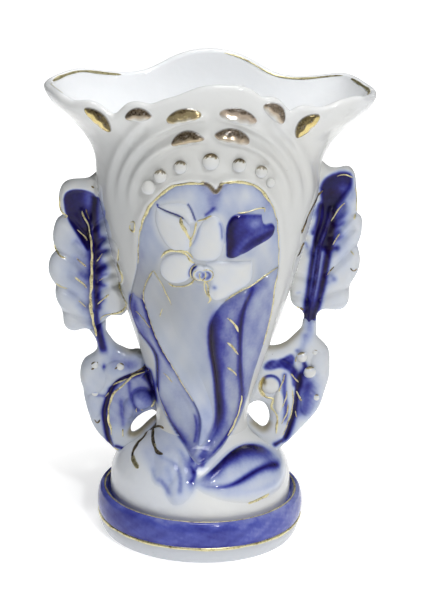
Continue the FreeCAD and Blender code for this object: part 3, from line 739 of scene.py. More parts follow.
class Nodes:
    """Short ways to wire a material."""

    def __init__(self, name):
        self.material = bpy.data.materials.new(name)
        self.material.use_nodes = True
        self.tree = self.material.node_tree
        self.shader = self.tree.nodes["Principled BSDF"]
        self.place = self.node("ShaderNodeTexCoord").outputs["Object"]

    def node(self, kind, **settings):
        made = self.tree.nodes.new(kind)
        for key, value in settings.items():
            setattr(made, key, value)
        return made

    def link(self, value, socket):
        if isinstance(value, bpy.types.NodeSocket):
            self.tree.links.new(value, socket)
        else:
            socket.default_value = value

    def noise(self, per_mm, detail=3.0, stretch=(1, 1, 1), rough=0.55):
        """Fine unevenness, about per_mm patches to the millimetre."""
        mapping = self.node("ShaderNodeMapping")
        self.link(self.place, mapping.inputs["Vector"])
        mapping.inputs["Scale"].default_value = stretch
        made = self.node("ShaderNodeTexNoise")
        self.link(mapping.outputs[0], made.inputs["Vector"])
        made.inputs["Scale"].default_value = per_mm / MM
        made.inputs["Detail"].default_value = detail
        made.inputs["Roughness"].default_value = rough
        return made.outputs["Fac"]

    def math(self, operation, a, b=0.0, clamp=False):
        made = self.node("ShaderNodeMath", operation=operation, use_clamp=clamp)
        self.link(a, made.inputs[0])
        self.link(b, made.inputs[1])
        return made.outputs[0]

    def times(self, a, b, clamp=False):
        return self.math("MULTIPLY", a, b, clamp)

    def plus(self, a, b, clamp=False):
        return self.math("ADD", a, b, clamp)

    def minus(self, a, b, clamp=False):
        return self.math("SUBTRACT", a, b, clamp)

    def spread(self, value, low, high, to_low=0.0, to_high=1.0):
        """A range of values spread over another range, and clamped to it."""
        made = self.node("ShaderNodeMapRange")
        for key, number in zip(("Value", "From Min", "From Max", "To Min", "To Max"),
                               (value, low, high, to_low, to_high)):
            self.link(number, made.inputs[key])
        return made.outputs[0]

    def painted(self, name):
        return self.node("ShaderNodeAttribute", attribute_name=name).outputs["Fac"]

    def ramp(self, value, stops):
        made = self.node("ShaderNodeValToRGB")
        band = made.color_ramp
        for i, (place, colour) in enumerate(stops):
            stop = band.elements[i] if i < 2 else band.elements.new(place)
            stop.position = place
        for stop, (place, colour) in zip(band.elements, sorted(stops)):
            stop.position, stop.color = place, linear(colour)
        self.link(value, made.inputs["Fac"])
        return made.outputs["Color"]

    def mix(self, share, first, second):
        made = self.node("ShaderNodeMix", data_type="RGBA")
        self.link(share, made.inputs[0])
        self.link(first, made.inputs[6])
        self.link(second, made.inputs[7])
        return made.outputs[2]

    def bump(self, value, height_mm):
        made = self.node("ShaderNodeBump")
        made.inputs["Distance"].default_value = height_mm * MM
        made.inputs["Strength"].default_value = 1.0
        self.link(value, made.inputs["Height"])
        self.link(made.outputs[0], self.shader.inputs["Normal"])


def glaze(name, stops):
    """Glazed porcelain, painted under the glaze; gilding laid over it where gold is painted."""
    n = Nodes(name)
    blot, grain, streak = n.noise(0.05, 2), n.noise(0.7, 4), n.noise(0.35, 2, (1.0, 1.0, 0.2))
    uneven = n.plus(n.spread(blot, 0.3, 0.7, -0.05, 0.05), n.spread(grain, 0.3, 0.7, -0.022, 0.022))
    uneven = n.plus(uneven, n.spread(streak, 0.3, 0.7, -0.018, 0.018))
    blue = n.painted("blue")
    held = n.times(blue, n.minus(1.25, blue))
    density = n.plus(blue, n.times(n.times(uneven, 3.0), held), clamp=True)
    colour = n.ramp(density, stops)
    warm = n.spread(n.noise(0.03, 2), 0.35, 0.65, 0.0, 0.14)
    bare = n.minus(1.0, n.times(density, 1.6), clamp=True)
    colour = n.mix(n.times(warm, bare), colour, linear((220, 217, 206)))
    speck = n.spread(n.noise(0.55, 1), 0.795, 0.82)
    colour = n.mix(n.times(n.times(speck, bare), 0.5), colour, linear((96, 84, 78)))
    thin = n.minus(1.0, n.spread(density, 0.42, 0.72))
    # Grey over the thinner wash: a grey-fired wash on the front, painted shade on the left flank and the
    # left scroll, and a greyer tone on the unglazed foot and towards the band's sides.
    colour = n.mix(n.times(n.painted("ash"), thin), colour, linear(ASH_AND_SHADE_GREY))
    colour = n.mix(n.painted("olive"), colour, linear(OLIVE))
    # Near-white where light is painted: inside the mouth, round the lip and over the unpainted dome.
    colour = n.mix(n.painted("white"), colour, linear(PAINTED_LIGHT_WHITE))
    colour = n.mix(n.times(n.painted("violet"), n.spread(grain, 0.25, 0.6, 0.45, 0.8)),
                   colour, linear(VIOLET))
    gold = n.times(n.painted("gold"), n.spread(n.noise(0.7, 4), 0.28, 0.42, 0.75, 1.0), clamp=True)
    metal = n.ramp(n.noise(0.35, 4), [(0.2, (184, 148, 70)), (0.5, GOLD), (1.0, (234, 214, 138))])
    metal = n.mix(n.painted("lustre"), metal, linear(LUSTRE))
    # Dark bronze in the gilding: wear, the painted shade of the dip at the top of the heart, and a painted
    # reflection along the tops of the ruffles and the pearls' crowns.
    worn = n.times(n.painted("worn"), n.spread(n.noise(1.1, 5), 0.40, 0.66, 1.0, 0.72), clamp=True)
    metal = n.mix(worn, metal, linear(BRONZE))
    n.link(n.mix(gold, colour, metal), n.shader.inputs["Base Color"])
    matt = n.plus(n.times(n.painted("lustre"), 0.6), n.times(worn, 0.5), clamp=True)
    dull = n.minus(0.95, matt, clamp=True)
    n.link(n.times(gold, dull), n.shader.inputs["Metallic"])
    glossy = n.spread(n.noise(0.25, 3), 0.3, 0.7, 0.04, 0.10)
    n.link(n.plus(glossy, n.times(gold, 0.18)), n.shader.inputs["Roughness"])
    n.shader.inputs["IOR"].default_value = 1.45
    n.shader.inputs["Specular IOR Level"].default_value = 0.3
    n.shader.inputs["Subsurface Weight"].default_value = 0.06
    n.shader.inputs["Subsurface Radius"].default_value = (0.0012, 0.0011, 0.001)
    n.bump(n.plus(n.noise(0.12, 2), n.times(n.noise(0.6, 2), 0.12)), 0.22)
    return n.material


def gilt(name, pale, dark, share):
    """Burnished gilding, worn and brushed; share is how much of it has gone dark."""
    n = Nodes(name)
    wear, fine = n.noise(0.3, 4), n.noise(1.4, 4)
    tone = n.plus(n.times(wear, 0.6), n.times(fine, 0.4))
    n.link(n.ramp(tone, [(share - 0.10, dark), (share + 0.06, pale), (0.9, (234, 225, 188))]),
           n.shader.inputs["Base Color"])
    n.shader.inputs["Metallic"].default_value = 0.85
    n.link(n.spread(fine, 0.3, 0.7, 0.24, 0.42), n.shader.inputs["Roughness"])
    n.bump(fine, 0.10)
    return n.material


GLAZE = glaze("porcelain_glaze", COBALT)
BAND_GLAZE = glaze("base_band_glaze", BAND)
LINE_GILT = gilt("line_gilding", (214, 205, 158), (124, 106, 72), 0.44)
BURNT_GILT = gilt("burnt_gilding", (132, 116, 82), (50, 44, 38), 0.5)

# ------------------------------------------------------------------ body and foot

COLUMNS = np.radians(np.r_[np.arange(-90, 90, 0.75), np.arange(90, 270, 1.5)])


FLARE_STEPS, INNER_STEPS = 40, 30
MEAN_LIP = 212.0  # where the search for the lip starts
SEARCH_STEPS = 40


def lip_run(angle):
    """How high the form runs at an angle before the lip ends it."""
    where = np.full(np.shape(angle), MEAN_LIP)
    for _ in range(SEARCH_STEPS):
        x = WIDE(where) * (1 + corner_swell(angle, where)) * np.sin(angle)
        level = np.where(np.cos(angle) > 0, LIP_HEIGHT["front"](x), LIP_HEIGHT["behind"](x))
        where = 0.6 * where + 0.4 * level
    return where


def body():
    """The hollow body: outer wall, rounded lip, inner wall; gives back the rows of the lip."""
    shape = Shape()
    low = np.r_[np.arange(STEM, 160, 1.5), np.arange(160, FLARE, 0.6)]
    top = lip_run(COLUMNS)
    rise_by = (np.arange(FLARE_STEPS + 1) / FLARE_STEPS)[:, None]
    angle = np.broadcast_to(COLUMNS, (len(low) + len(rise_by), len(COLUMNS)))
    where = np.vstack([np.repeat(low[:, None], len(COLUMNS), 1), FLARE + rise_by * (top - FLARE)])
    front = np.cos(angle) > 0
    x = form_point(angle, where)[..., 0]
    rise = arch_rise(x, where) + np.where(front, frame_rise(x, where), 0)
    settle = 1 - ease(where, top - 4, top - 1)
    outside = form_point(angle, where) + form_normal(angle, where) * (rise * settle)[..., None]

    drop = 1 - np.arange(INNER_STEPS + 1) / INNER_STEPS
    inner_where = FLOOR + 5 + drop[:, None] * (top - FLOOR - 5)
    thick = WALL - 0.8 * ease(inner_where, 150, 190) + 0.7 * ease(inner_where, 196, 210)
    inner_angle = np.broadcast_to(COLUMNS, inner_where.shape)
    inside = form_point(inner_angle, inner_where)
    inside = inside - form_normal(inner_angle, inner_where) * thick[..., None]
    inside[..., 2] = np.maximum(inside[..., 2], FLOOR)

    edge_out, edge_in = outside[-1], inside[0]
    middle, half = (edge_out + edge_in) / 2, (edge_out - edge_in) / 2
    up = unit(np.cross(np.roll(middle, -1, 0) - np.roll(middle, 1, 0), half))
    up = up * np.sign(up[:, 2:])
    tall = np.linalg.norm(half, axis=1, keepdims=True)
    turns = np.radians(np.arange(20, 180, 20))
    lip = np.stack([middle + half * math.cos(a) + up * tall * 1.15 * math.sin(a) for a in turns])

    rows = np.concatenate([outside, lip, inside])
    count, columns = rows.shape[:2]
    blue = np.zeros((count, columns))
    here = len(outside)
    fx, fw = x[front[:here]], where[front]
    blue[:here][front] = front_blue(fx, fw) * ease(fw, 50, 54)
    gold, ash, white = np.zeros((3, count, columns))
    gold[:here][front] = notch(fx, fw)
    # Grey over the left flank, more on its lower part: painted shade on the side away from the key lamp.
    ash[:here][front] = (0.26 * ease(-fx, 14, 38) + 0.3 * ease(-fx, 16, 26) * ease(-fw, -132, -112)) \
        * ease(-fw, -206, -190)
    # Painted light: the inside of the mouth and the rounded lip are whitened to read brighter, and the
    # outside whitens towards the lip, most at the mouth's tips.
    white[here:] = 1
    white[here:here + len(turns)] = ease(np.arange(len(turns)), 0, len(turns) - 1)[:, None]
    white[:here] = (0.3 + 0.5 * ease(np.abs(x), 60, 72)) * ease(where - top, -14, 0)
    white[here:here + len(turns)] = np.maximum(white[here:here + len(turns)], white[here - 1])
    centres = [(0, 0, rows[0, 0, 2]), (0, 0, FLOOR)]
    values = {"blue": blue, "gold": gold, "worn": gold, "ash": ash, "white": white}
    values = {key: np.r_[value.ravel(), 0, key == "white"] for key, value in values.items()}
    shape.add(np.vstack([rows.reshape(-1, 3), centres]), capped_faces(count, columns), **values)
    shape.build("vase_body_porcelain", GLAZE, "porcelain", ["vase_body"])
    return rows[here - 1:here + len(turns) + 1]


def turned(name, profile, material, slot, node, columns, paint):
    """A ring turned round the axis from a closed profile of (radius, level)."""
    profile = np.array(profile, float)
    angle = columns[:, None]
    rows = np.stack([np.sin(angle) * profile[:, 0], -np.cos(angle) * profile[:, 0],
                     np.ones_like(angle) * profile[:, 1]], -1)
    rows = np.moveaxis(rows, 0, 1)
    faces = grid_faces(len(profile) + 1, len(columns), True) % (len(profile) * len(columns))
    shape = Shape()
    shape.add(rows, faces, **paint(rows))
    shape.build(name, material, slot, [node])


DOME_COLUMNS = np.radians(np.r_[np.arange(-90, 90, 0.7), np.arange(90, 270, 1.8)])


def dome():
    """The hollow foot under the body."""
    outer_run = np.arange(8.8, STEM + 0.01, 0.54)
    outer = np.stack([WIDE(outer_run), LEVEL(outer_run)], 1)
    outer[:, 1] = np.maximum(outer[:, 1], 17.4)
    top = outer[-1, 1]
    hollow = [(0.02, 46.6), (14.0, 46.4), (22.0, 45.0), (27, 43.2), (31.6, 40.4), (35, 36.8), (37.2, 32.4),
              (38.2, 27), (38.2, 17.4)]
    profile = np.vstack([outer, [(18.0, top), (0.02, top)], hollow])

    def paint(rows):
        blue = np.zeros(rows.shape[:2])
        count = len(outer)
        where = np.repeat(outer_run[:, None], len(DOME_COLUMNS), 1)
        x = rows[:count, :, 0]
        front = rows[:count, :, 1] < 0
        blue[:count][front] = foot_blue(x[front], where[front])
        # Painted light: the unpainted dome is whitened so it reads brighter.
        return {"blue": blue, "white": 0.22 * (1 - ease(blue, 0.05, 0.3))}

    turned("foot_dome_porcelain", profile, GLAZE, "porcelain", "foot_dome", DOME_COLUMNS, paint)


def plinth():
    """The ring the vase stands on, with its blue band."""
    band = run([(48.2, 8.4), (48.7, 10.6), (48.9, 13), (48.8, 15.6), (48.3, 18), (47.6, 19.8), (46.6, 20.5),
                (45.3, 20.1), (44.1, 19), (43.3, 17.6)], 0.6).tolist()
    foot = [(44.6, 0.0), (45.8, 0.3), (46.4, 1.2), (47.2, 3.0), (47.8, 5.2), (48.2, 7.2), (48.0, 7.9)]
    profile = [(38.2, 17.5), (38.2, 0.8), (39.0, 0.0)] + foot + band

    def paint(rows):
        x, level = rows[..., 0], rows[..., 2]
        outer = np.hypot(x, rows[..., 1]) > 41
        swept = np.arctan2(x, -rows[..., 1]) * 48
        blue = 0.66 + 0.07 * ripple(swept, level * 3.2, 8, 2) + 0.05 * ripple(swept, level * 2, 3.4, 7)
        # Painted light: less blue on the right of the band, where the key lamp falls, and more on the left;
        # the band also pales towards its top.
        blue = blue - 0.08 * ease(x, 6, 36) + 0.05 * ease(-x, 14, 40) - 0.10 * ease(level, 17.5, 20.5)
        blue = (blue + 0.12 * hump(level - 9, 0.9)) * ease(level, 7.9, 8.6) * outer
        ash = 0.62 * (level < 7.95) * outer + 0.25 * ease(np.abs(x), 40, 48) * (level > 8)
        return {"blue": np.clip(blue, 0, 1), "ash": ash}

    turned("foot_plinth_band", profile, BAND_GLAZE, "base_band_blue", "foot_plinth",
           np.radians(np.arange(0, 360, 1.2)), paint)


# ------------------------------------------------------------------ raised work as meshes


def build_sprigs():
    """The raised leaves, petals and panels of the front, each its own piece."""
    for name, (outline_here, slot_name, step) in SPRIGS.items():
        x, where, faces = cells(outline_here, step, 0.7)
        height = np.maximum(sprig_rise(name, x, where), -0.9)
        paint = foot_blue if name.startswith("foot") else front_blue
        values = {"blue": paint(x, where)}
        if name == "flower_eye":
            values["blue"] = eye_blue(x, where)
        if name in PETALS:
            values["blue"] = petal_blue(name, x, where)
        if not name.startswith("foot"):
            values["violet"] = front_violet(x, where)
        values["ash"] = front_ash(name, x, where)
        if name in ("heart_panel", "blade_leaf_middle"):
            values["olive"] = 0.20 * ease(where, 96, 122) * ease(-where, -150, -128) * ease(-x, -6, 16)
        values["gold"] = values["worn"] = notch(x, where)
        shape = Shape()
        add_plate(shape, on_form(x, where, height), on_form(x, where, height * 0 - 1.4), faces, **values)
        shape.build(name + "_relief", GLAZE, slot_name, [name])


def eye_blue(x, where):
    """Violet-grey inside the two gilt rings, and a cobalt crescent on the left."""
    off = np.hypot(x - EYE[0], where - EYE[1])
    second = np.hypot(x - EYE_SECOND[0], where - EYE_SECOND[1])
    return over(0.10 + 0 * x, 0.26 * ease(-second, -2.6, -1.8),
                0.3 * hump(second - 1.5, 0.6) * ease(x, 0, 1),
                0.3 * hump(off - 1.3, 0.6), 0.75 * hump(off - 3.7, 0.5) * ease(-x, 3, 4.4))


def petal_blue(name, x, where):
    """The petals stay white but for a soft blue shadow at their edges and a few touches."""
    edge = depth_inside(x, where, PETALS[name])
    soft = 0.08 * hump(edge, 1.6) + 0.04 + 0.03 * ripple(x, where, 5, len(name))
    return over(np.clip(soft, 0, 1),
                0.9 * hump(np.hypot(x + 2.2, where - 136.5) - 4.3, 0.8) * ease(-3.4 - x, 0, 1.5),
                stroke(x, where, [(4.8, 161.8), (6.1, 159.5), (6.7, 156.4), (7, 151)], 0.42, 0.5, 0.8,
                       start=0.2, end=0.3, sharp=1.6),
                stroke(x, where, [(-4.6, 160.6), (-4.6, 156), (-6, 151.8)], 0.30, 1.6, 0.6),
                0.4 * hump(np.hypot(x - 4.1, where - 130), 1.1))


def ruffles():
    """The gilt ruffles of the collar: overlapping tilted shells."""
    shape = Shape()
    for x0, up, reach, tall, slope, band, bronze, lustre in RUFFLES:
        turn = np.radians(np.arange(0, 360, 9))
        lean = math.radians(slope)
        long, short = reach * np.cos(turn), tall * np.sin(turn) * (1 - 0.18 * np.cos(turn) ** 2)
        short = short - 1.0 * (long / reach) ** 2
        ring = np.stack([x0 + long * math.cos(lean) - short * math.sin(lean),
                         up + long * math.sin(lean) + short * math.cos(lean)], 1)
        x, where, faces = cells(ring, 0.4, 0.9)
        inside = depth_inside(x, where, ring)
        height = body_rise(x, where) + 0.35 + 0.95 * pillow(inside, 2.6) + 0.6 * np.minimum(inside, 0)
        height = height + 0.10 * ripple(x, where, 2.4, x0) * ease(inside, 0, 1.5)
        along = (x - x0) * math.cos(lean) + (where - up) * math.sin(lean)
        share = ((where - up) * math.cos(lean) - (x - x0) * math.sin(lean)) / tall
        share = share + (along / reach) ** 2 * 0.33
        share = 0.5 + 0.5 * share + 0.05 * np.sin(along * 1.3 + x0)
        # The dark share at the top of each ruffle paints the dark reflection on its gilding.
        add_plate(shape, on_form(x, where, height), on_form(x, where, height * 0 - 1.2), faces,
                  blue=0.03 + 0 * x, gold=ease(share, 0.0, 0.24 + 0.3 * lustre) * ease(inside, -0.5, 0.1),
                  worn=bronze * ease(share, 1 - band - 0.08, 1 - band + 0.04),
                  lustre=lustre * ease(share, 0.0, 0.3))
    shape.build("collar_ruffles_gilt", GLAZE, "gilding", ["collar_ruffles"])


def ball_rows(centre, radius, squash, rows=16, columns=28):
    """A squashed ball: its points one from the middle, its points in place, and its faces."""
    tilt = np.linspace(0, math.pi, rows + 1)[1:-1, None]
    turn = np.linspace(0, 2 * math.pi, columns + 1)[None, :-1]
    across = np.stack([np.sin(tilt) * np.cos(turn), np.sin(tilt) * np.sin(turn),
                       -np.cos(tilt) * np.ones_like(turn)], -1)
    ball = np.vstack([across.reshape(-1, 3), [(0, 0, -1), (0, 0, 1)]])
    return ball, ball * radius * np.array(squash) + np.array(centre), capped_faces(rows - 1, columns)


def pearls():
    """The row of balls above the ruffles."""
    shape = Shape()
    for x, up, share, gilded in PEARLS:
        radius = PEARL_RADIUS * share
        centre = on_form(np.array([x]), np.array([up]), np.array([0.9]))[0]
        ball, points, faces = ball_rows(centre, radius, (1, 0.8, 1))
        side = np.arctan2(ball[:, 0], -ball[:, 1])
        jag = 0.10 * np.sin(side * 9 + x) + 0.22 * np.abs(np.sin(side * 1.1))
        crown = gilded * ease(ball[:, 2] + jag, 0.66, 0.74)
        dark = ease(ball[:, 2] + jag + 0.3 * np.sin(side * 5 + x), 0.4, 0.66)
        # The dark part of each gilt crown is a painted reflection on the pearl's top; a faint blue darkens
        # the lower half.
        shape.add(points, faces, blue=0.05 * ease(-ball[:, 2], -0.2, 0.9), gold=crown,
                  worn=0.95 * dark * crown, lustre=0.5 * crown)
    shape.build("pearls_porcelain", GLAZE, "porcelain", ["pearls"])


# ------------------------------------------------------------------ handles

LEVELS = [row[1] for row in FORM]
WIDE_AT = spline(LEVELS, [row[2] for row in FORM])
DEEP_AT = spline(LEVELS, [row[3] for row in FORM])
HALF_LEAF, HALF_SCROLL = 4.0, 5.2


def body_edge(side, levels, sunk=2.2):
    """The line a handle ends on, a little inside the vase's side."""
    return [(side * (WIDE_AT(z) - sunk), z) for z in levels]


LEFT = {
    "leaf": outline(
        [(-45, 173.4), (-51, 172.2), (-53.4, 170), (-57, 168.9), (-61, 168.6), (-64.7, 167.4),
         (-66.7, 165.2), (-67.8, 161.6), (-67.9, 158.4), (-67.2, 154.6), (-66.2, 151.6)],
        [(-66.2, 151.6), (-68.3, 150), (-69.9, 146.6), (-70.6, 142), (-70.2, 138), (-69, 134.6)],
        [(-69, 134.6), (-71.4, 131.8), (-72.5, 128), (-72.4, 124), (-71, 120.6), (-69.2, 117.8)],
        [(-69.2, 117.8), (-69.4, 113.8), (-68.2, 109.4), (-66, 104.6), (-65.5, 99.8), (-63.9, 97),
         (-59.6, 96), (-55.4, 97), (-53.2, 96.2), (-50.9, 93)],
        [(-50.9, 93), (-46.4, 92.6), (-46.4, 98), (-46, 101.2), (-43.4, 103.8), (-38.4, 104.2), (-36, 107),
         (-35.2, 111.6), (-36.4, 115.6), (-39.6, 119)],
        [(-39.6, 119), (-37.4, 123), (-37.3, 128), (-39.8, 133.2)],
        [(-39.8, 133.2), (-39, 137.6), (-39.8, 141.4), (-42.8, 147.2), (-45.4, 156), (-47, 163),
         (-45, 173.4)]),
    "scroll": outline(
        [(-53.4, 96.6), (-51.3, 93.4), (-49.9, 89.9), (-50.2, 86.8), (-52.6, 84.4), (-55.2, 82.6),
         (-57, 79.6), (-57.7, 75.8), (-57.5, 71.6), (-56.2, 67.4)],
        [(-56.2, 67.4), (-55.6, 63), (-54, 56.8), (-52.2, 51), (-49.5, 46.2), (-45.7, 41.8), (-42.1, 38.2),
         (-39, 35.4)],
        [(-39, 35.4), (-30, 40), (-27, 44)] + body_edge(-1, [52, 60, 70, 78, 86]),
        [(-27.4, 86), (-31, 87.6), (-34, 87.2), (-37.4, 88.2), (-41, 90.1), (-43.8, 93.5), (-45.7, 97.3),
         (-46, 101.4), (-50, 100), (-53.4, 96.6)]),
    "merge": 175,
    "gap": outline(
        [(-33.5, 47.4), (-32.2, 51.6), (-29, 55.1), (-25.5, 57.2), (-22.6, 57.6), (-21.5, 56.4),
         (-23.1, 54), (-25.9, 51.3), (-28.7, 48.2), (-31.2, 46.2), (-33, 46)]),
    "rib": [(-57.2, 154.2), (-55.6, 150.2), (-54.1, 147.2), (-53.3, 143.5), (-52.5, 137.8), (-52.3, 131),
            (-52.4, 125.3), (-52.5, 119.7), (-52.8, 111.2), (-51.9, 103.8), (-49.8, 94.4)],
    "cup": outline(
        [(-65.9, 159.3), (-64.9, 162.8), (-62.6, 164.4), (-59, 165), (-55.4, 164.6), (-51, 162.4),
         (-50.2, 159), (-51.4, 152.6), (-52.2, 144)],
        [(-52.2, 144), (-54.4, 135), (-57.6, 139.6), (-61.4, 145.6), (-64.2, 150.6), (-65.9, 159.3)]),
    "valleys": [
        [(-65.2, 151.4), (-61, 148), (-56, 142)], [(-68.4, 135), (-62, 131.6), (-54.4, 124)],
        [(-69, 118), (-62, 115), (-54.6, 109)], [(-67, 106), (-60, 104), (-53.4, 101)],
        [(-60, 139), (-56, 134)], [(-62, 124), (-56, 119)],
        [(-41.4, 146), (-45, 143), (-50, 138)], [(-40, 133), (-44, 131.4), (-50, 127)],
        [(-39.8, 119), (-44, 118.6), (-50, 115)], [(-42, 138), (-48.4, 134.6)],
        [(-43, 125), (-49, 121)], [(-45, 155), (-48, 150), (-51, 147)]],
    "crease": [(-26.2, 81.4), (-28, 78.4), (-34, 75.6), (-39.9, 72.4), (-42.8, 68.2), (-44.9, 62.1),
               (-45.9, 56.6), (-45.1, 50.6), (-44.1, 45), (-42.6, 40)],
    "lobes": [(-28, 64, 5, 5, 3.2), (-34.4, 59.2, 2.6, 5.2, 1.8), (-51.4, 74, 6.2, 8, 1.6),
              (-51, 60, 4, 6, 1.3), (-40, 78, 6, 5, 1.0)],
}
RIGHT = {
    "leaf": outline(
        [(46, 184), (49.4, 182.4), (52.4, 179.6), (55, 177.7), (59.3, 177.4), (63.8, 178), (66.2, 175.7),
         (67.3, 171.8), (68.1, 165), (68.6, 159.4), (68.4, 156.4)],
        [(68.4, 156.4), (70.4, 154.8), (71.2, 151), (71, 146.8), (69.4, 141)],
        [(69.4, 141), (70.8, 136.1), (70.8, 130.8), (69.2, 126), (67, 121.6), (66.8, 116.5), (66.2, 112.8),
         (64.2, 110.4), (60.1, 109.6), (54.9, 109.5), (52.5, 107.5), (52.1, 103.6), (52.4, 96.4)],
        [(52.4, 96.4), (46, 97.6), (46, 103), (45.9, 107.6), (43.6, 109.8), (41, 111.6), (39.4, 117),
         (38.9, 125.6), (39.3, 132.8), (40.2, 139.6), (42.4, 143.4)],
        [(42.4, 143.4), (42.4, 151), (44.2, 158.6), (46.8, 164), (47.4, 170), (46, 184)]),
    "scroll": outline(
        [(52, 104.1), (52.3, 97.2), (55.2, 94), (58.3, 90.2), (59.2, 84.4), (59.3, 77.6), (57.4, 69),
         (55.2, 61.6), (51.6, 56)],
        [(51.6, 56), (46.7, 50.1), (41, 43.6), (37.2, 39.4), (35, 36)],
        [(35, 36), (28, 41), (26, 45)] + body_edge(1, [52, 60, 70, 80, 91]),
        [(28.4, 91.2), (31.9, 91), (35.4, 91.6), (39.3, 93.9), (42.9, 97.7), (45.6, 101.6), (46, 104.4),
         (49, 105.6), (52, 104.1)]),
    "merge": 177,
    "gap": outline(
        [(21.9, 61), (24, 63), (26.6, 63.8), (29.4, 62.4), (31.6, 58), (31.5, 53.2), (29.2, 50.4),
         (27, 51.4), (23, 55.4), (21.6, 58)]),
    "rib": [(56.2, 158), (55.2, 151.3), (53, 143.8), (51.4, 133), (50.3, 122.3), (48.9, 111.5),
            (48.4, 104), (48.8, 98)],
    "cup": outline(
        [(50.2, 168.4), (52.4, 173), (56.4, 175.6), (61, 176.8), (65, 175.8), (66.2, 172.6), (65.6, 168),
         (63.4, 164.4)],
        [(63.4, 164.4), (60.8, 161), (58.2, 156), (57.8, 148), (56.6, 138), (50, 140), (50.4, 150),
         (51.4, 158), (50.2, 168.4)]),
    "valleys": [
        [(67.4, 156.8), (63, 152), (58, 145)], [(68.4, 141), (63, 135), (56.4, 128)],
        [(67, 121), (61, 119), (54.4, 116)], [(66.6, 149), (62, 144), (58, 138)],
        [(62, 160), (58.4, 152)], [(42.6, 143.2), (45, 141), (48.4, 137)],
        [(39.6, 127), (44, 126), (48, 124)], [(40, 115), (44, 116.6), (47.4, 114)]],
    "crease": [(36, 85), (42, 82), (45, 77), (44.2, 70.4), (43.5, 62.7), (42, 55.1), (40, 48), (38, 43)],
    "lobes": [(31.8, 73.2, 4.4, 4.4, 3.0), (36, 64.8, 2.3, 6, 2.2), (46, 87.2, 2.8, 2.6, 2.0),
              (49.6, 79.8, 3, 2.8, 2.2), (50.4, 64, 4.6, 6.4, 1.4), (54.4, 84, 4, 6, 1.2)],
}


HANDS = {"left": LEFT, "right": RIGHT}
SLAB_STEP = 0.45


def soft_max(a, b, blend=0.8):
    """The larger of two heights, rounded where they meet."""
    top = np.maximum(a, b)
    return top + blend * np.log(np.exp((a - top) / blend) + np.exp((b - top) / blend))


def flank(x, z):
    """How far in front of the mid plane the vase's own side stands."""
    share = 1 - (x / WIDE_AT(z)) ** 2
    out = np.maximum(np.abs(x) - WIDE_AT(z), 0)
    return DEEP_AT(z) * np.sqrt(np.maximum(share, 0)) - 5 * out


def leaf_front(hand, x, z):
    """How far a leaf stands in front of the mid plane, out from the handle and up the vase's side."""
    inside = np.maximum(depth_inside(x, z, hand["leaf"]), 0)
    merge = ease(z, hand["merge"] - 12, hand["merge"])
    on_side = flank(x, z) + (1.9 * pillow(inside, 2.4) - 0.3) * (1 - merge) - 1.6 * merge
    height = soft_max(0.5 + (HALF_LEAF - 0.5) * pillow(inside, 4.0), on_side)
    rib = near(x, z, run(hand["rib"]))[0]
    height = height - 1.5 * hump(rib, 4.4) + 1.4 * hump(rib, 1.0)
    height = height - 1.5 * ease(depth_inside(x, z, hand["cup"]), -0.6, 2.6)
    for valley in hand["valleys"]:
        height = height - 1.35 * beside(x, z, valley, 1.5)
    return np.maximum(height, 0.4)


def scroll_front(hand, x, z):
    """How far a scroll stands in front of the mid plane, with its lobes and its crease."""
    inside = depth_inside(x, z, hand["scroll"])
    inside = np.minimum(inside, -depth_inside(x, z, hand["gap"]))
    height = 0.6 + (HALF_SCROLL - 1.4) * pillow(np.maximum(inside, 0), 3.8)
    for x0, z0, wide, tall, rise in hand["lobes"]:
        off = np.hypot((x - x0) / wide, (z - z0) / tall)
        height = height + rise * np.sqrt(np.maximum(1 - off ** 2, 0))
    return np.maximum(height - 1.3 * beside(x, z, hand["crease"], 1.3), 0.4)


def on_nearest(places, lines):
    """Each place moved onto the nearest of some closed outlines."""
    best, moved = np.full(len(places), np.inf), places
    for line in lines:
        closed = np.vstack([line, line[:1]])
        gap, along, _ = near(*places.T, closed)
        step = np.clip(along * (len(closed) - 1), 0, len(closed) - 1.001)
        i = step.astype(int)
        foot = closed[i] + (step - i)[:, None] * (closed[i + 1] - closed[i])
        moved = np.where((gap < best)[:, None], foot, moved)
        best = np.minimum(best, gap)
    return moved


def slab(side, part, front, paint, slot_name):
    """A handle piece: the same relief in front and behind, cut out along its outline."""
    hand = HANDS[side]
    lines = [hand["leaf"]] if part == "leaf" else [hand["scroll"], hand["gap"]]
    x, z, faces = cells(hand[part], SLAB_STEP, 0.0)
    for gap in lines[1:]:
        middle = x.ravel()[faces].mean(1), z.ravel()[faces].mean(1)
        faces = faces[depth_inside(*middle, gap) < 0]
    rim = np.unique(border_edges(faces))
    places = np.stack([x.ravel(), z.ravel()], 1)
    places[rim] = on_nearest(places[rim], lines)
    x, z = (column.reshape(x.shape) for column in places.T)
    out = front(hand, x, z)
    shape = Shape()
    add_plate(shape, np.stack([x, -out, z], -1), np.stack([x, out, z], -1), faces, back=0, **paint(x, z))
    shape.build(f"{side}_handle_{part}_porcelain", GLAZE, slot_name, [f"{side}_handle_{part}"])


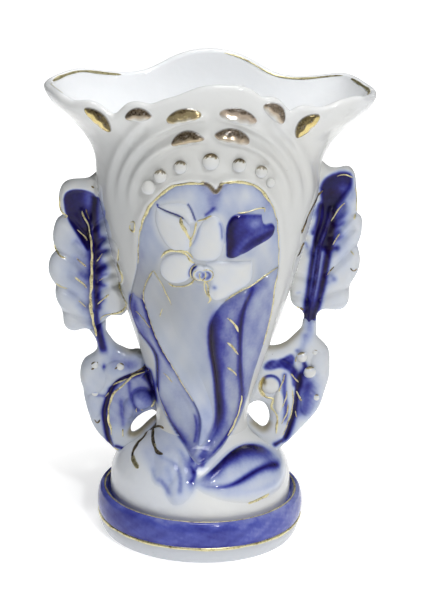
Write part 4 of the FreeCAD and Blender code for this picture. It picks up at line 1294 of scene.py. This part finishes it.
LEFT_LEAF_STROKES = [
    ([(-51.4, 162), (-51.6, 148), (-51, 140), (-50.6, 128), (-50.6, 116), (-50, 105)], 0.97, 3, 1.5, 0.02,
     0.06, 2.4),
    ([(-50.4, 106), (-49.6, 100), (-48.6, 93)], 0.9, 1.7),
]
LEFT_LEAF_SPOTS = [(0.34, -46, 152, 3.4, 13), (0.26, -60, 128, 6, 14)]
LEFT_SMEARS = [((-44.6, 143.2), (-49.6, 139.6), 0.8, 1.2), ((-42.8, 136.8), (-49, 134.6), 0.7, 1.0),
    ((-43.4, 130), (-49, 126.4), 0.85, 1.3), ((-43, 125.2), (-48.4, 124), 0.5, 1.0), ((-43.8, 118.6),
    (-49, 119.4), 0.7, 1.1), ((-44.4, 113.4), (-49, 111), 0.6, 0.9), ((-42, 149.6), (-44.4, 156),
    0.35, 0.8), ((-47.6, 148), (-46, 157), 0.3, 1.0), ((-62, 142), (-58, 139), 0.25, 1.4), ((-63, 134),
    (-57, 130), 0.22, 1.2), ((-60, 126), (-55.6, 122.6), 0.35, 1.4), ((-66, 117), (-60, 114), 0.2, 1.3),
    ((-60, 112), (-56, 108), 0.25, 1.4), ((-42, 105.6), (-47, 105), 0.35, 0.8)]


def left_leaf_paint(x, z):
    cup = depth_inside(x, z, LEFT["cup"])
    lower = ease(-z, -166, -150)
    layers = [
        (0.03 + 0.05 * lower + 0.03 * ripple(x, z, 5, 3)) * ease(-x - WIDE_AT(z), 0, 6),
        ease(cup, -0.3, 1.0) * (0.93 - 0.34 * spot(x, z, -54, 160, 2.6, 5)),
        (0.62 + 0.38 * ease(z, 112, 132))
        * stroke(x, z, LEFT["rib"][2:], 0.82, 0.8, 3.6, start=0.02, end=0.0, sharp=1.8),
        *strokes(x, z, LEFT_LEAF_STROKES),
        *spots(x, z, LEFT_LEAF_SPOTS),
    ]
    for first, last, strength, width in LEFT_SMEARS:
        layers.append(stroke(x, z, [first, last], 0.98 * strength, 1.6 * width, start=0.6, sharp=1.6))
    side_line = [(-51.4, 158), (-51.2, 146), (-50.9, 138), (-50.4, 126), (-50.2, 112)]
    violet = (0.5 * stroke(x, z, [(-64, 160), (-61, 153), (-57, 146), (-54.5, 140)], 1, 1.8)
              + stroke(x, z, side_line, 0.8, 0.7))
    ash = 0.34 * ease(-cup, 0, 4) * lower * (0.7 + 0.3 * ripple(x, z, 9, 4))
    return {"blue": over(*layers), "violet": np.clip(violet, 0, 1) * 0.7, "ash": np.clip(ash, 0, 1)}


LEFT_SCROLL_STROKES = [
    ([(-49.8, 101), (-48.6, 95), (-47, 89), (-45.8, 84)], 0.95, 2.3, 2.2, 0, 0.3, 3),
    (LEFT["crease"], 0.98, 1.5, 0.9, 0.02, 0, 2.4),
    (LEFT["crease"][4:], 0.85, 0.9, 1.9, 0, 0.05, 2.4),
    ([(-27.4, 77), (-24.4, 74), (-22.4, 69), (-21.6, 65)], 0.9, 2.4, 2.4, 0.05, 0.3, 3),
    ([(-34.4, 72), (-34, 67), (-32, 62), (-30.4, 58.6)], 0.4, 1.2, 1),
    ([(-38.4, 66), (-38, 60), (-37.4, 54), (-37, 48)], 0.4, 1.4, 1.2, 0.2, 0.2),
    ([(-51, 65.8), (-46.4, 65.2)], 0.5, 1, 1, 0.3),
    ([(-41.4, 40), (-38.6, 39.6), (-36.6, 38.8)], 0.85, 1.1, 1.1, 0.2),
]
LEFT_SCROLL_SPOTS = [(0.7, -46.3, 79.8, 1, 1.8), (0.46, -34, 81, 7, 4.2), (0.28, -42, 84, 5, 7),
                     (0.16, -52, 60, 5, 10)]


def left_scroll_paint(x, z):
    ball = np.hypot(x + 28, z - 64)
    to_crease = near(x, z, run(LEFT["crease"]))
    within = ease(to_crease[2] * to_crease[0], 0, 2)
    # The ball is painted darker towards its upper right and lighter at its lower left: painted shade and
    # light on the ball; a blue ring runs round its upper half.
    shade = ease((z - 64) + 0.4 * (x + 28), -2.0, 5.2)
    layers = [
        0.13 + 0.06 * ripple(x, z, 5, 8),
        0.32 * within * ease(z, 44, 54) * (1 + 0.25 * ripple(x, z, 4, 3)),
        ease(5.3 - ball, 0, 0.8) * (0.02 + 0.34 * shade),
        hump(ball - 5.6, 0.9) * ease(z, 63, 69) * 0.5,
        *strokes(x, z, LEFT_SCROLL_STROKES),
        *spots(x, z, LEFT_SCROLL_SPOTS),
    ]
    violet = stroke(x, z, LEFT["crease"], 0.75, 0.9)
    olive = 0.8 * hump(depth_inside(x, z, LEFT["gap"]) + 0.4, 1.3) * ease(48 + 0.9 * (x + 33) - z, -3.2, 0)
    edge = hump(depth_inside(x, z, LEFT["scroll"]), 1.3)
    olive = olive + 0.5 * edge * ease(x, -44, -36) * ease(z, 80, 86)
    # Grey over the scroll except the ball: painted shade on the vase's dim left side.
    ash = 0.34 * within + (0.36 + 0.1 * ripple(x, z, 7, 2)) * (1 - within)
    return {"blue": over(*layers), "violet": violet * 0.7, "olive": np.clip(olive, 0, 1),
            "ash": ash * ease(ball, 5, 8)}


RIGHT_LEAF_STROKES = [
    ([(57.6, 158), (57, 146), (55.8, 136), (54.6, 126), (52.6, 114), (50.8, 106)], 0.97, 1.9, 2.2, 0, 0,
     2.4),
    ([(51.8, 160), (50.9, 150), (49.6, 138), (48.4, 126), (47.4, 114), (46.9, 106)], 0.93, 1.1, 1.7, 0, 0,
     2.2),
    (RIGHT["rib"], 0.6, 1.4),
    ([(48.8, 113), (49, 107), (49.2, 101)], 0.8, 2.4, 2.4, 0, 0.5),
]
RIGHT_LEAF_SPOTS = [(0.22, 62, 146, 4, 12)]
RIGHT_SMEARS = [((57.5, 159), (65.4, 167), 0.5, 1.8), ((57.6, 152), (66, 159), 0.6, 1.3), ((51.6, 160),
    (47.4, 153), 0.42, 1.2), ((50.8, 152), (46, 145), 0.42, 1.1), ((49.8, 140), (45, 135), 0.3, 1.1),
    ((57.6, 149), (65.4, 154.4), 0.65, 1.1), ((57.6, 145.6), (62.4, 149.6), 0.6, 1.2), ((57.4, 139.6),
    (62.6, 140.6), 0.8, 1.1), ((57, 142.6), (65, 147.4), 0.4, 1.1), ((60, 158), (65, 163), 0.45, 2.4),
    ((57, 124), (62, 126), 0.25, 1.2), ((58, 127), (61, 124), 0.3, 0.9), ((48.7, 147.4), (48.4, 145.4),
    0.6, 0.7), ((45.6, 142), (46.9, 138), 0.45, 0.7), ((47.8, 158), (48.4, 152), 0.2, 1.6), ((43.6, 118.4),
    (41.4, 117.8), 0.25, 0.6), ((66, 168), (65, 160), 0.3, 1.6)]


def right_leaf_paint(x, z):
    cup = depth_inside(x, z, RIGHT["cup"])
    rib = RIGHT["rib"]
    to_rib = near(x, z, run(rib))[0]
    lower = ease(-z, -178, -160)
    layers = [
        (0.03 + 0.05 * lower + 0.03 * ripple(x, z, 5, 5)) * ease(x - WIDE_AT(z), 0, 6),
        ease(cup, -0.8, 2.0) * (0.92 - 0.2 * spot(x, z, 62, 168, 3, 2.4)),
        *strokes(x, z, RIGHT_LEAF_STROKES),
        *spots(x, z, RIGHT_LEAF_SPOTS),
    ]
    for first, last, strength, width in RIGHT_SMEARS:
        layers.append(stroke(x, z, [first, last], 0.95 * strength, 1.4 * width, start=0.0, end=0.6,
                             sharp=1.7))
    blue = over(*layers)
    strip = ease(1.5 - to_rib, 0, 0.9) * ease(158 - z, 0, 5) * ease(z, 108, 120)
    blue = blue * (1 - strip) + strip * (0.80 + 0.12 * ripple(x, z, 1.6, 1))
    violet = (0.8 * spot(x, z, 57, 166, 3.6, 2)
              + stroke(x, z, [(57.4, 156), (56.8, 144), (55.4, 132), (53.8, 122)], 0.75, 1.2, sharp=2.6)
              + 0.5 * stroke(x, z, [(53.4, 164), (52.4, 154), (50.6, 142)], 0.7, 1.2))
    ash = 0.14 * ease(-cup, 0, 4) * lower * ease(60 - x, 0, 6)
    violet = np.clip(violet, 0, 1) * 0.75 * (1 - strip) + 0.42 * strip
    return {"blue": blue, "violet": violet, "ash": ash}


RIGHT_SCROLL_DARK = outline([(28.2, 80.8), (30.2, 85), (36, 86.2), (41.5, 88.6), (43, 86), (42.8, 82.6),
    (46.2, 77.6), (45.4, 71), (42.6, 72), (40.8, 78), (35.8, 81), (29.4, 80)])


RIGHT_SCROLL_STROKES = [
    ([(49, 108), (49, 103), (48.6, 97), (46.4, 92)], 0.4, 2.2, 2.2, 0, 0.6),
    (RIGHT["crease"][2:], 0.97, 2.4, 0.9, 0, 0.12, 2.2),
    ([(38.4, 78), (38.4, 70), (39.6, 60), (38.6, 52)], 0.66, 1.3, 1.5, 0, 0.2),
    ([(47.6, 76), (48.4, 66), (45.6, 55)], 0.6, 4, 2.4, 0.2, 0.3),
    ([(47, 80), (49.4, 74), (53, 70)], 0.5, 2.8, 2.8, 0, 0.5),
    ([(47.2, 84), (47.8, 81), (46.6, 79)], 0.8, 1.2),
    ([(35.2, 43.2), (37.8, 44.6)], 0.97, 1.4),
    ([(47, 100), (46, 92), (44.6, 89)], 0.28, 2, 2, 0.2),
]
RIGHT_SCROLL_SPOTS = [(0.4, 43.6, 90.4, 1.2, 1)]


def right_scroll_paint(x, z):
    ball = np.hypot(x - 31.8, z - 73.2)
    lobe = np.hypot((x - 36) / 2.3, (z - 64.8) / 6)
    layers = [
        0.07 + 0.04 * ripple(x, z, 5, 2),
        ease(depth_inside(x, z, RIGHT_SCROLL_DARK), -0.9, 1.4) * (0.74 + 0.14 * ripple(x, z, 2.2, 3)),
        0.30 * spot(x, z, 52, 70, 3.6, 9) * (1 + 0.5 * ripple(x, z, 2.4, 4)),
        *strokes(x, z, RIGHT_SCROLL_STROKES),
        *spots(x, z, RIGHT_SCROLL_SPOTS),
    ]
    white = np.maximum(ease(4.3 - ball, 0, 0.5), ease(1 - lobe, 0, 0.3))
    for x0, z0, wide in ((46, 87.2, 2.6), (49.6, 79.8, 2.8)):
        white = np.maximum(white, ease(wide - np.hypot(x - x0, z - z0), 0, 0.5))
    blue = over(*layers) * (1 - 0.88 * white)
    blue = np.maximum(blue, 0.75 * hump(ball - 4.5, 0.7) * ease(z + 0.4 * x, 84, 88))
    violet = stroke(x, z, RIGHT["crease"][1:7], 0.55, 1.2)
    violet = violet + 0.85 * spot(x, z, 45, 88, 0.9, 0.7)
    violet = violet + 0.85 * spot(x, z, 49.4, 80.8, 1.3, 0.8)
    olive = 0.75 * hump(depth_inside(x, z, RIGHT["gap"]) + 0.3, 1.5) * ease(53.6 - z, -2, 1)
    edge = hump(depth_inside(x, z, RIGHT["scroll"]), 1.3)
    olive = olive + 0.6 * edge * ease(z - 0.5 * x, 68, 73) * ease(-x, -47, -44)
    gold = stroke(x, z, [(28.4, 76), (27.3, 73.6), (27.2, 70.6), (28.6, 68)], 1.1, 0.9, sharp=4)
    worn = 0.9 * spot(x, z, 28.9, 75, 0.9, 1.7)
    gold = np.clip(np.maximum(gold, worn), 0, 1)
    ash = 0.16 * ease(x, 46, 54) * (1 - white)
    return {"blue": blue, "violet": np.clip(violet, 0, 1) * 0.8, "olive": np.clip(olive, 0, 1),
            "gold": gold, "worn": worn, "ash": ash}


# across, up, radius, share of dark blue, way the gilt crown leans
BERRIES = {
    "left": [(-50.6, 80.4, 1.8, 0.1, -0.6), (-38.6, 80.2, 2.0, 0.1, 0.5), (-50.4, 66.4, 1.6, 0.5, 0)],
    "right": [(46.0, 87.6, 2.5, 0.1, -0.3), (50.0, 80.4, 2.8, 0.1, -0.1), (53.4, 67.4, 1.6, 0.1, 0),
              (52.0, 89.6, 1.5, 0.1, 0.3)],
}


def berries(side, marks):
    """The small balls that sit on the scroll."""
    hand = HANDS[side]
    shape = Shape()
    for x, z, radius, dark, turn in marks:
        deep = float(scroll_front(hand, np.array([[x]]), np.array([[z]]))[0, 0])
        ball, points, faces = ball_rows((x, -deep + radius * 0.35, z), radius, (1, 0.75, 1))
        lean = ball[:, 0] * math.sin(turn) + ball[:, 2] * math.cos(turn)
        crowned = 0.9 * (dark < 0.3)
        shape.add(points, faces, blue=dark * ease(lean, 0.0, 0.7), gold=crowned * ease(lean, 0.66, 0.76),
                  worn=crowned * ease(lean, 0.5, 0.95))
    shape.build(f"{side}_handle_berries_porcelain", GLAZE, "porcelain", [f"{side}_handle_berries"])


# ------------------------------------------------------------------ gilt lines

# Every line: its places and its width.
FRONT_GOLD = [
    ([(-1.6, 178.1), (-5, 178.2), (-9.8, 177.6), (-14.1, 176.6), (-18, 173.9), (-22, 169.8),
      (-25.5, 164.7), (-27.6, 159.6), (-29.4, 152.5)], 1.35),
    ([(-29, 155), (-29.8, 148), (-30, 143.6), (-29.9, 137)], 0.5),
    ([(5.6, 177.6), (7.4, 178.6), (10.6, 179), (16.3, 178.7), (20.3, 177.1), (24.3, 173.7),
    (27.6, 168.7)], 1.35), ([(26.4, 171), (28.4, 167), (30.1, 162.8), (31.5, 154.9), (32.4, 144.9),
     (32.5, 137)], 0.5),
    (EDGE_B[:-3], 1.25), ([(-22.9, 135.3), (-19.8, 130.7), (-16.9, 124.9), (-14.5, 119.3)], 0.5),
    (EDGE_C[:5] + [(9, 122.6)], 0.8),
    ([(32.5, 136.6), (31.5, 131.5), (30.9, 119.7), (29.6, 109), (27, 97)], 1.1),
    ([(17.9, 72), (17.7, 68), (16.6, 62.6), (14.7, 57.1), (12.1, 52.1)], 1.1),
    ([(-20.8, 75), (-20.3, 71), (-18.6, 65.8), (-15.6, 60.4)], 1.0),
    ([(9.8, 115), (12.6, 112.3), (15.4, 106.9)], 0.9), ([(10.2, 102.2), (13, 99.4), (15.6, 94.8)], 0.9),
    ([(10.7, 89.6), (12.9, 87.2), (15.3, 83.6)], 0.8), ([(-30.4, 112.7), (-27.8, 110.5), (-23.7, 106)],
    0.6), ([(-17.5, 83.8), (-15.4, 82), (-13.3, 79.7)], 0.55), ([(-18.6, 117.1), (-19.4, 112.9)], 0.4),
    ([(13.2, 164.9), (16.6, 165), (19.6, 165.6), (22.8, 166.6), (25, 166.2), (24.9, 164.5)], 0.6),
    ([(-34, 156.3), (-32, 157), (-31.4, 154.8), (-32.1, 152.4), (-33.6, 152.8), (-33.8, 155)], 0.8),
]
FLOWER_GOLD = [
    ([(-11.4, 162.4), (-10.6, 159.6), (-9.4, 157.4), (-8.2, 154.6), (-6.8, 152), (-7.3, 148.6)], 1.5),
    ([(-4.5, 160.6), (-4.9, 156.8), (-6.4, 152.6), (-7, 150)], 0.9),
    ([(-4, 160.9), (-1.6, 161.6), (0.4, 162.7), (2.2, 163.8)], 1.0),
    ([(-19.5, 141.8), (-18.1, 144.5), (-15.9, 146.1), (-12.7, 146.3), (-10, 145.7), (-7.8, 144.1),
      (-6.4, 142.5), (-4.5, 141)], 1.1),
    ([(-12.6, 146.4), (-9.6, 146.8), (-7.2, 145.4), (-5.6, 143)], 0.9),
    ([(-16.2, 130.2), (-14, 129), (-11.5, 129.2), (-7.9, 130), (-5.7, 131.4), (-4.6, 133.4)], 0.8),
    ([(-0.4, 132.4), (1.2, 130.7), (1.5, 127.3), (2.7, 123.7), (1.3, 121.6)], 0.8),
    ([(-0.2, 132.4), (-0.1, 129.4), (0.9, 126), (2.4, 124.4)], 0.5),
    ([(EYE[0] + 2.6 * math.sin(t), EYE[1] + 2.6 * math.cos(t)) for t in np.linspace(0.9, 5.9, 14)], 0.55),
    ([(EYE_SECOND[0] + 2.9 * math.sin(t), EYE_SECOND[1] + 2.8 * math.cos(t))
      for t in np.linspace(-0.6, 5.1, 15)],
     0.6),
    ([(EYE[0] + 4.4 * math.sin(t), EYE[1] + 4.2 * math.cos(t)) for t in np.linspace(3.4, 5.9, 10)], 0.6),
]
FOOT_GOLD = [
    ([(-21.2, 53), (-22.4, 50.2), (-25.4, 46.2), (-28.3, 41.7), (-31.1, 36.8), (-31.7, 33.6),
    (-30.9, 32)], 1.9), ([(-23, 49.6), (-22.5, 46.3), (-21.7, 43.5), (-20, 41.1), (-17, 40)], 1.8),
    ([(-23.6, 48.6), (-21.4, 51.2), (-19.3, 52.9), (-17.4, 53)], 1.2),
]
FOOT_TIPS = [([(-31.7, 33.8), (-30.8, 31.9), (-28.7, 30.2)], 1.9), ([(-21.9, 44.6), (-21.2, 42.6)], 1.3),
             ([(22.6, 17.6), (27.1, 18.4), (31.6, 19.4)], 1.6)]
LEFT_GOLD = [
    (LEFT["rib"][:4], 0.7), (LEFT["rib"][3:7], 1.0), (LEFT["rib"][5:], 1.3),
    ([(-67.4, 160.7), (-67, 155.6), (-65.6, 152.8), (-64, 151.3), (-65.4, 150.6)], 0.9),
    ([(-69.7, 137.8), (-68.5, 134.4), (-66.4, 132.4), (-64.2, 131.9)], 1.0),
    ([(-68.9, 119.3), (-66.4, 118), (-63.6, 117.2)], 0.8), ([(-59.2, 145.2), (-54.7, 139.8)], 0.7),
    ([(-59.4, 132.1), (-55, 127.6)], 0.6), ([(-60, 122.5), (-54.7, 117.4)], 0.8),
    ([(-58.6, 111.2), (-55, 108.1)], 0.7), ([(-47.5, 134.4), (-50.3, 130.4)], 0.6),
    ([(-47.2, 122.5), (-49.1, 121.1)], 0.4), ([(-44.4, 115.1), (-49.5, 110)], 0.7),
    ([(-39.6, 141), (-39.7, 136), (-39.9, 132.6), (-38.2, 128.2), (-38, 124.2), (-39.8, 120),
      (-39.9, 118.2), (-37.6, 115.7), (-36, 112.3), (-36.8, 108.9), (-39.6, 106.3), (-44.7, 105.2),
       (-47.5, 103.5), (-48.3, 101.8)],
     0.9),
    ([(-27.2, 77.6), (-31.7, 75.7), (-34.4, 73.7), (-38.1, 70.2), (-41.3, 66.7), (-43.1, 62.6),
      (-43.8, 59.1), (-44, 55.6), (-43.6, 52.1), (-42.6, 48), (-42.4, 45.6)], 1.0),
    ([(-42.2, 70.2), (-38.1, 72.6), (-35.4, 73.8)], 0.7), ([(-23.9, 60.4), (-22, 64)], 1.1),
    ([(-30.8, 59.6), (-31, 58.4), (-30.6, 57.4)], 0.6), ([(-29.8, 59.2), (-27.6, 58.4)], 0.5),
    ([(-38.6, 80.6), (-38, 79.4)], 0.9), ([(-37.2, 49), (-36.8, 45)], 0.7), ([(-41.2, 38.8),
    (-38.8, 38)], 0.9), ([(-45.4, 64.6), (-44, 66.4)], 0.5),
]
RIGHT_GOLD = [
    ([(62.6, 161.6), (59.4, 157.6), (56.8, 152.4)], 0.6), ([(60.8, 147), (57.9, 141.6)], 0.6),
    ([(58.9, 131), (56.2, 127.1)], 0.6), ([(58.4, 173.6), (62.4, 174.6), (65.6, 173.2)], 0.5),
    ([(67.2, 169), (67.9, 163), (68, 157.4)], 0.5), ([(67.6, 156.2), (67.2, 154)], 0.9),
    ([(66.3, 139), (68, 137.2)], 0.6), ([(42.6, 111.4), (44, 110.4)], 0.8),
    ([(26.9, 74.6), (27, 71), (28.4, 68), (31, 66.6), (33.3, 66.2), (32.5, 62.4), (34.4, 59.7),
      (35.6, 55.1), (35.2, 48.6)], 1.0),
    ([(38.3, 78.5), (37.2, 74), (35.8, 69.9)], 0.8), ([(39.7, 70.4), (39, 66), (37.7, 62.7)], 0.7),
    ([(40.6, 63.8), (39.6, 58), (37.6, 53.6)], 0.6),
    ([(42.2, 70.6), (42.7, 66), (42.2, 60), (40.6, 54), (38.6, 47.6)], 0.7), ([(41, 79), (45.1, 74.2)],
    0.8), ([(43.9, 69.8), (46.7, 65.6)], 0.9), ([(44, 60), (44.8, 57)], 0.5), ([(43.4, 87.6),
(43.2, 84.6)], 0.7), ]


BURNT_RIGHT = [
    ([(52.5, 167), (48.9, 164), (46.4, 160), (44.3, 155.6), (43, 150.2)], 1.0),
    ([(44.4, 144.4), (43.2, 142), (41.4, 138.9)], 1.1), ([(66.4, 131), (68.4, 129.4), (69.6, 130.4)], 0.7),
    ([(58.9, 131), (57.2, 128.6)], 0.7), ([(60.8, 147), (59.6, 145)], 0.7), ([(44.4, 111), (46, 109.6)],
1.2), ]
BURNT_LEFT = [
    ([(-50.4, 80.6), (-49, 82)], 0.8), ([(-52.2, 78.8), (-50.6, 79.4)], 0.7), ([(-41, 79), (-39, 80.8)],
    0.9), ([(-50.6, 53), (-49, 51.6), (-48, 53.4)], 0.7), ([(-26.6, 80.6), (-30, 78.2), (-34, 76)], 0.8),
    ([(-55.4, 155), (-54, 150)], 0.6), ([(-52.8, 166.4), (-51.4, 165.6)], 0.9),
]


def strap(shape, middle, out, widths, thick=0.2, lift=0.0, sides=8):
    """A flat bead of gold along a line, lifted a little out of what it lies on."""
    out = unit(out)
    across = unit(np.cross(out, np.gradient(middle, axis=0)))
    middle = middle + out * lift
    turn = np.linspace(0, 2 * math.pi, sides + 1)[:-1]
    ring = (middle[:, None] + across[:, None] * (widths[:, None] / 2 * np.cos(turn))[..., None]
            + out[:, None] * (np.minimum(thick, widths / 3)[:, None] * np.sin(turn))[..., None])
    faces = [list(f) for f in grid_faces(len(middle), sides, True)]
    faces.append(list(range(sides))[::-1])
    faces.append([(len(middle) - 1) * sides + i for i in range(sides)])
    shape.add(ring, faces)


def tapered(length, width, seed):
    """The widths along a hand-laid line: thin at the ends, uneven between."""
    share = np.linspace(0, 1, length)
    pinch = np.sqrt(np.clip(np.sin(np.pi * share), 0, 1))
    along = share * length
    wobble = 1 + 0.22 * np.sin(along * 0.23 + seed * 1.7) + 0.12 * np.sin(along * 0.71 + seed)
    return width * (0.22 + 0.78 * np.minimum(pinch * 1.5, 1)) * wobble


def gilt_on(name, lines, place, material):
    """Lays gold lines; place turns (across, up, lift) into a point in space."""
    shape = Shape()
    for number, (points, width) in enumerate(lines):
        line = run(points, 0.5)
        tremble = np.stack([np.sin(line[:, 1] * 0.9 + number), np.cos(line[:, 0] * 0.8 + number)], 1)
        line = line + 0.12 * tremble
        x, y = line.T
        middle, above = place(x, y, 0.10), place(x, y, 0.60)
        strap(shape, middle, above - middle, tapered(len(line), width, number))
    shape.build(name, material, "gilding")


def on_front(x, where, lift):
    """A point of the front, lifted off it."""
    return on_form(x, where, front_height(x, where) + lift)


def on_handle(hand):
    """How to place a point on the front of a handle."""
    def place(x, z, lift):
        leaf = np.where(depth_inside(x, z, hand["leaf"]) > -0.5, leaf_front(hand, x, z), 0)
        scroll = np.where(depth_inside(x, z, hand["scroll"]) > -0.5, scroll_front(hand, x, z), 0)
        return np.stack([x, -np.maximum(leaf, scroll) - lift, z], 1)
    return place


def foot_rings():
    """The gilt lines above and below the blue band."""
    shape = Shape()
    turn = np.radians(np.arange(0, 361, 1.5))
    for radius, level, width, rise in ((45.5, 20.2, 1.2, 4.0), (48.3, 8.2, 1.5, 0.4)):
        middle = np.stack([radius * np.sin(turn), -radius * np.cos(turn), level * np.ones_like(turn)], 1)
        out = np.stack([np.sin(turn), -np.cos(turn), rise * np.ones_like(turn)], 1)
        widths = width * (1 + 0.18 * np.sin(turn * 9) + 0.12 * np.sin(turn * 23))
        strap(shape, middle, out, widths, 0.25)
    shape.build("foot_band_gilt_lines", LINE_GILT, "gilding")


def lip_gilt(lip):
    """The worn gilt line inside the lip, behind and at the tips."""
    shape = Shape()
    row, inner = lip[-2:]
    count = len(row)
    for first, last, width in ((0.60, 0.73, 1.5), (0.74, 0.83, 0.9), (0.90, 0.995, 1.3), (0.02, 0.12, 0.8),
                               (0.52, 0.58, 0.6)):
        picked = np.arange(int(first * count), int(last * count))
        out = (row - (lip[0] + inner) / 2)[picked]
        strap(shape, row[picked], out, tapered(len(picked), width, first * 9), lift=0.05)
    shape.build("lip_gilt_lines", LINE_GILT, "gilding")


# ------------------------------------------------------------------ floor, light, camera

# name, place, what it is aimed at, size, power
LAMPS = [
    ("key", (0.42, -1.12, 0.90), (0, 0, 0.08), (0.13, 0.09), 6.6),
    ("top", (0.05, -0.3, 1.4), (0, 0, 0.12), (0.5, 0.5), 10.0),
    ("window", (-0.66, -0.87, 0.76), (0, 0, 0.05), (0.06, 0.10), 0.2),
    ("side", (1.05, -0.77, 0.7), (0, 0, 0.05), (0.06, 0.10), 0.5),
    ("back", (0.3, 1.0, 1.0), (0, 0, 0.15), (0.8, 0.6), 1.6),
]
CAMERA_PLACE = (3.33, -858.3, 383.1)  # mm
CAMERA_TILT, CAMERA_ROLL = 72.5, 1.57  # degrees
FOCAL_LENGTH, SENSOR_WIDTH = 116.3, 36


def lamp(name, place, aim, size, power):
    """A rectangular white area lamp aimed at a point."""
    data = bpy.data.lights.new(name, "AREA")
    data.shape, data.size, data.size_y = "RECTANGLE", size[0], size[1]
    data.energy = power
    made = bpy.data.objects.new(name, data)
    made.location = place
    made.rotation_euler = (Vector(aim) - Vector(place)).to_track_quat("-Z", "Y").to_euler()
    bpy.context.scene.collection.objects.link(made)


def studio():
    """A glowing floor, dim surroundings and the lamps; none of it is the part's."""
    floor_mesh = bpy.data.meshes.new("floor")
    ring = [(9 * math.cos(t), 9 * math.sin(t), -0.0002) for t in np.linspace(0, 2 * math.pi, 65)[:-1]]
    floor_mesh.from_pydata(ring, [], [list(range(64))])
    n = Nodes("glowing_floor")
    white = n.ramp(n.noise(0.004, 2), [(0.3, (244, 244, 244)), (0.7, (250, 250, 250))])
    n.link(white, n.shader.inputs["Base Color"])
    n.shader.inputs["Roughness"].default_value = 0.8
    n.shader.inputs["Specular IOR Level"].default_value = 0.1
    # The floor glows and lights the vase from below: bright in a widening wedge behind the vase, dimmer
    # near it, and dim grey in front of it and out to the sides.
    far = n.node("ShaderNodeVectorMath", operation="LENGTH")
    n.link(n.place, far.inputs[0])
    away = n.spread(far.outputs["Value"], 0.05, 0.5)
    far_glow = n.ramp(away, [(0.0, (196, 196, 196)), (1.0, (254, 254, 254))])
    split = n.node("ShaderNodeSeparateXYZ")
    n.link(n.place, split.inputs[0])
    behind = n.spread(split.outputs["Y"], -0.22, -0.09)
    aside = n.plus(n.math("ABSOLUTE", split.outputs["X"]), n.times(split.outputs["Y"], -0.104))
    lit = n.times(behind, n.spread(aside, 0.115, 0.24, 1.0, 0.0))
    n.link(n.mix(lit, linear((138, 138, 138)), far_glow), n.shader.inputs["Emission Color"])
    n.shader.inputs["Emission Strength"].default_value = 1.0
    floor_mesh.materials.append(n.material)
    floor = bpy.data.objects.new("floor", floor_mesh)
    bpy.context.scene.collection.objects.link(floor)

    world = bpy.data.worlds.new("studio")
    world.use_nodes = True
    tree = world.node_tree
    back = tree.nodes["Background"]
    place = tree.nodes.new("ShaderNodeTexCoord")
    split = tree.nodes.new("ShaderNodeSeparateXYZ")
    ramp = tree.nodes.new("ShaderNodeValToRGB")
    ramp.color_ramp.elements[0].position, ramp.color_ramp.elements[0].color = 0.0, (0.2, 0.2, 0.2, 1)
    ramp.color_ramp.elements[1].position, ramp.color_ramp.elements[1].color = 0.8, (0.8, 0.8, 0.82, 1)
    tree.links.new(place.outputs["Generated"], split.inputs[0])
    tree.links.new(split.outputs["X"], ramp.inputs["Fac"])
    tree.links.new(ramp.outputs["Color"], back.inputs["Color"])
    back.inputs["Strength"].default_value = 0.28
    bpy.context.scene.world = world

    for row in LAMPS:
        lamp(*row)
    bpy.context.scene.view_settings.view_transform = "Standard"


def camera():
    data = bpy.data.cameras.new("camera")
    data.lens, data.sensor_width = FOCAL_LENGTH, SENSOR_WIDTH
    made = bpy.data.objects.new("camera", data)
    tilt = Matrix.Rotation(math.radians(CAMERA_TILT), 4, "X")
    roll = Matrix.Rotation(math.radians(CAMERA_ROLL), 4, "Z")
    made.matrix_world = Matrix.Translation(Vector(CAMERA_PLACE) * MM) @ tilt @ roll
    bpy.context.scene.collection.objects.link(made)
    bpy.context.scene.camera = made


# ------------------------------------------------------------------ the vase

lip_rows = body()
dome()
plinth()
foot_rings()
build_sprigs()
ruffles()
pearls()
slab("left", "leaf", leaf_front, left_leaf_paint, "cobalt_wash")
slab("left", "scroll", scroll_front, left_scroll_paint, "porcelain")
slab("right", "leaf", leaf_front, right_leaf_paint, "cobalt_wash")
slab("right", "scroll", scroll_front, right_scroll_paint, "porcelain")
for side in HANDS:
    berries(side, BERRIES[side])
gilt_on("front_gilt_lines", FRONT_GOLD, on_front, LINE_GILT)
gilt_on("flower_gilt_lines", FLOWER_GOLD, on_front, LINE_GILT)
gilt_on("foot_vine_gilt_lines", FOOT_GOLD, on_front, BURNT_GILT)
gilt_on("foot_gilt_lines", FOOT_TIPS, on_front, LINE_GILT)
gilt_on("left_handle_burnt_gilt", BURNT_LEFT, on_handle(LEFT), BURNT_GILT)
gilt_on("right_handle_burnt_gilt", BURNT_RIGHT, on_handle(RIGHT), BURNT_GILT)
gilt_on("left_handle_gilt_lines", LEFT_GOLD, on_handle(LEFT), LINE_GILT)
gilt_on("right_handle_gilt_lines", RIGHT_GOLD, on_handle(RIGHT), LINE_GILT)
lip_gilt(lip_rows)
studio()
camera()
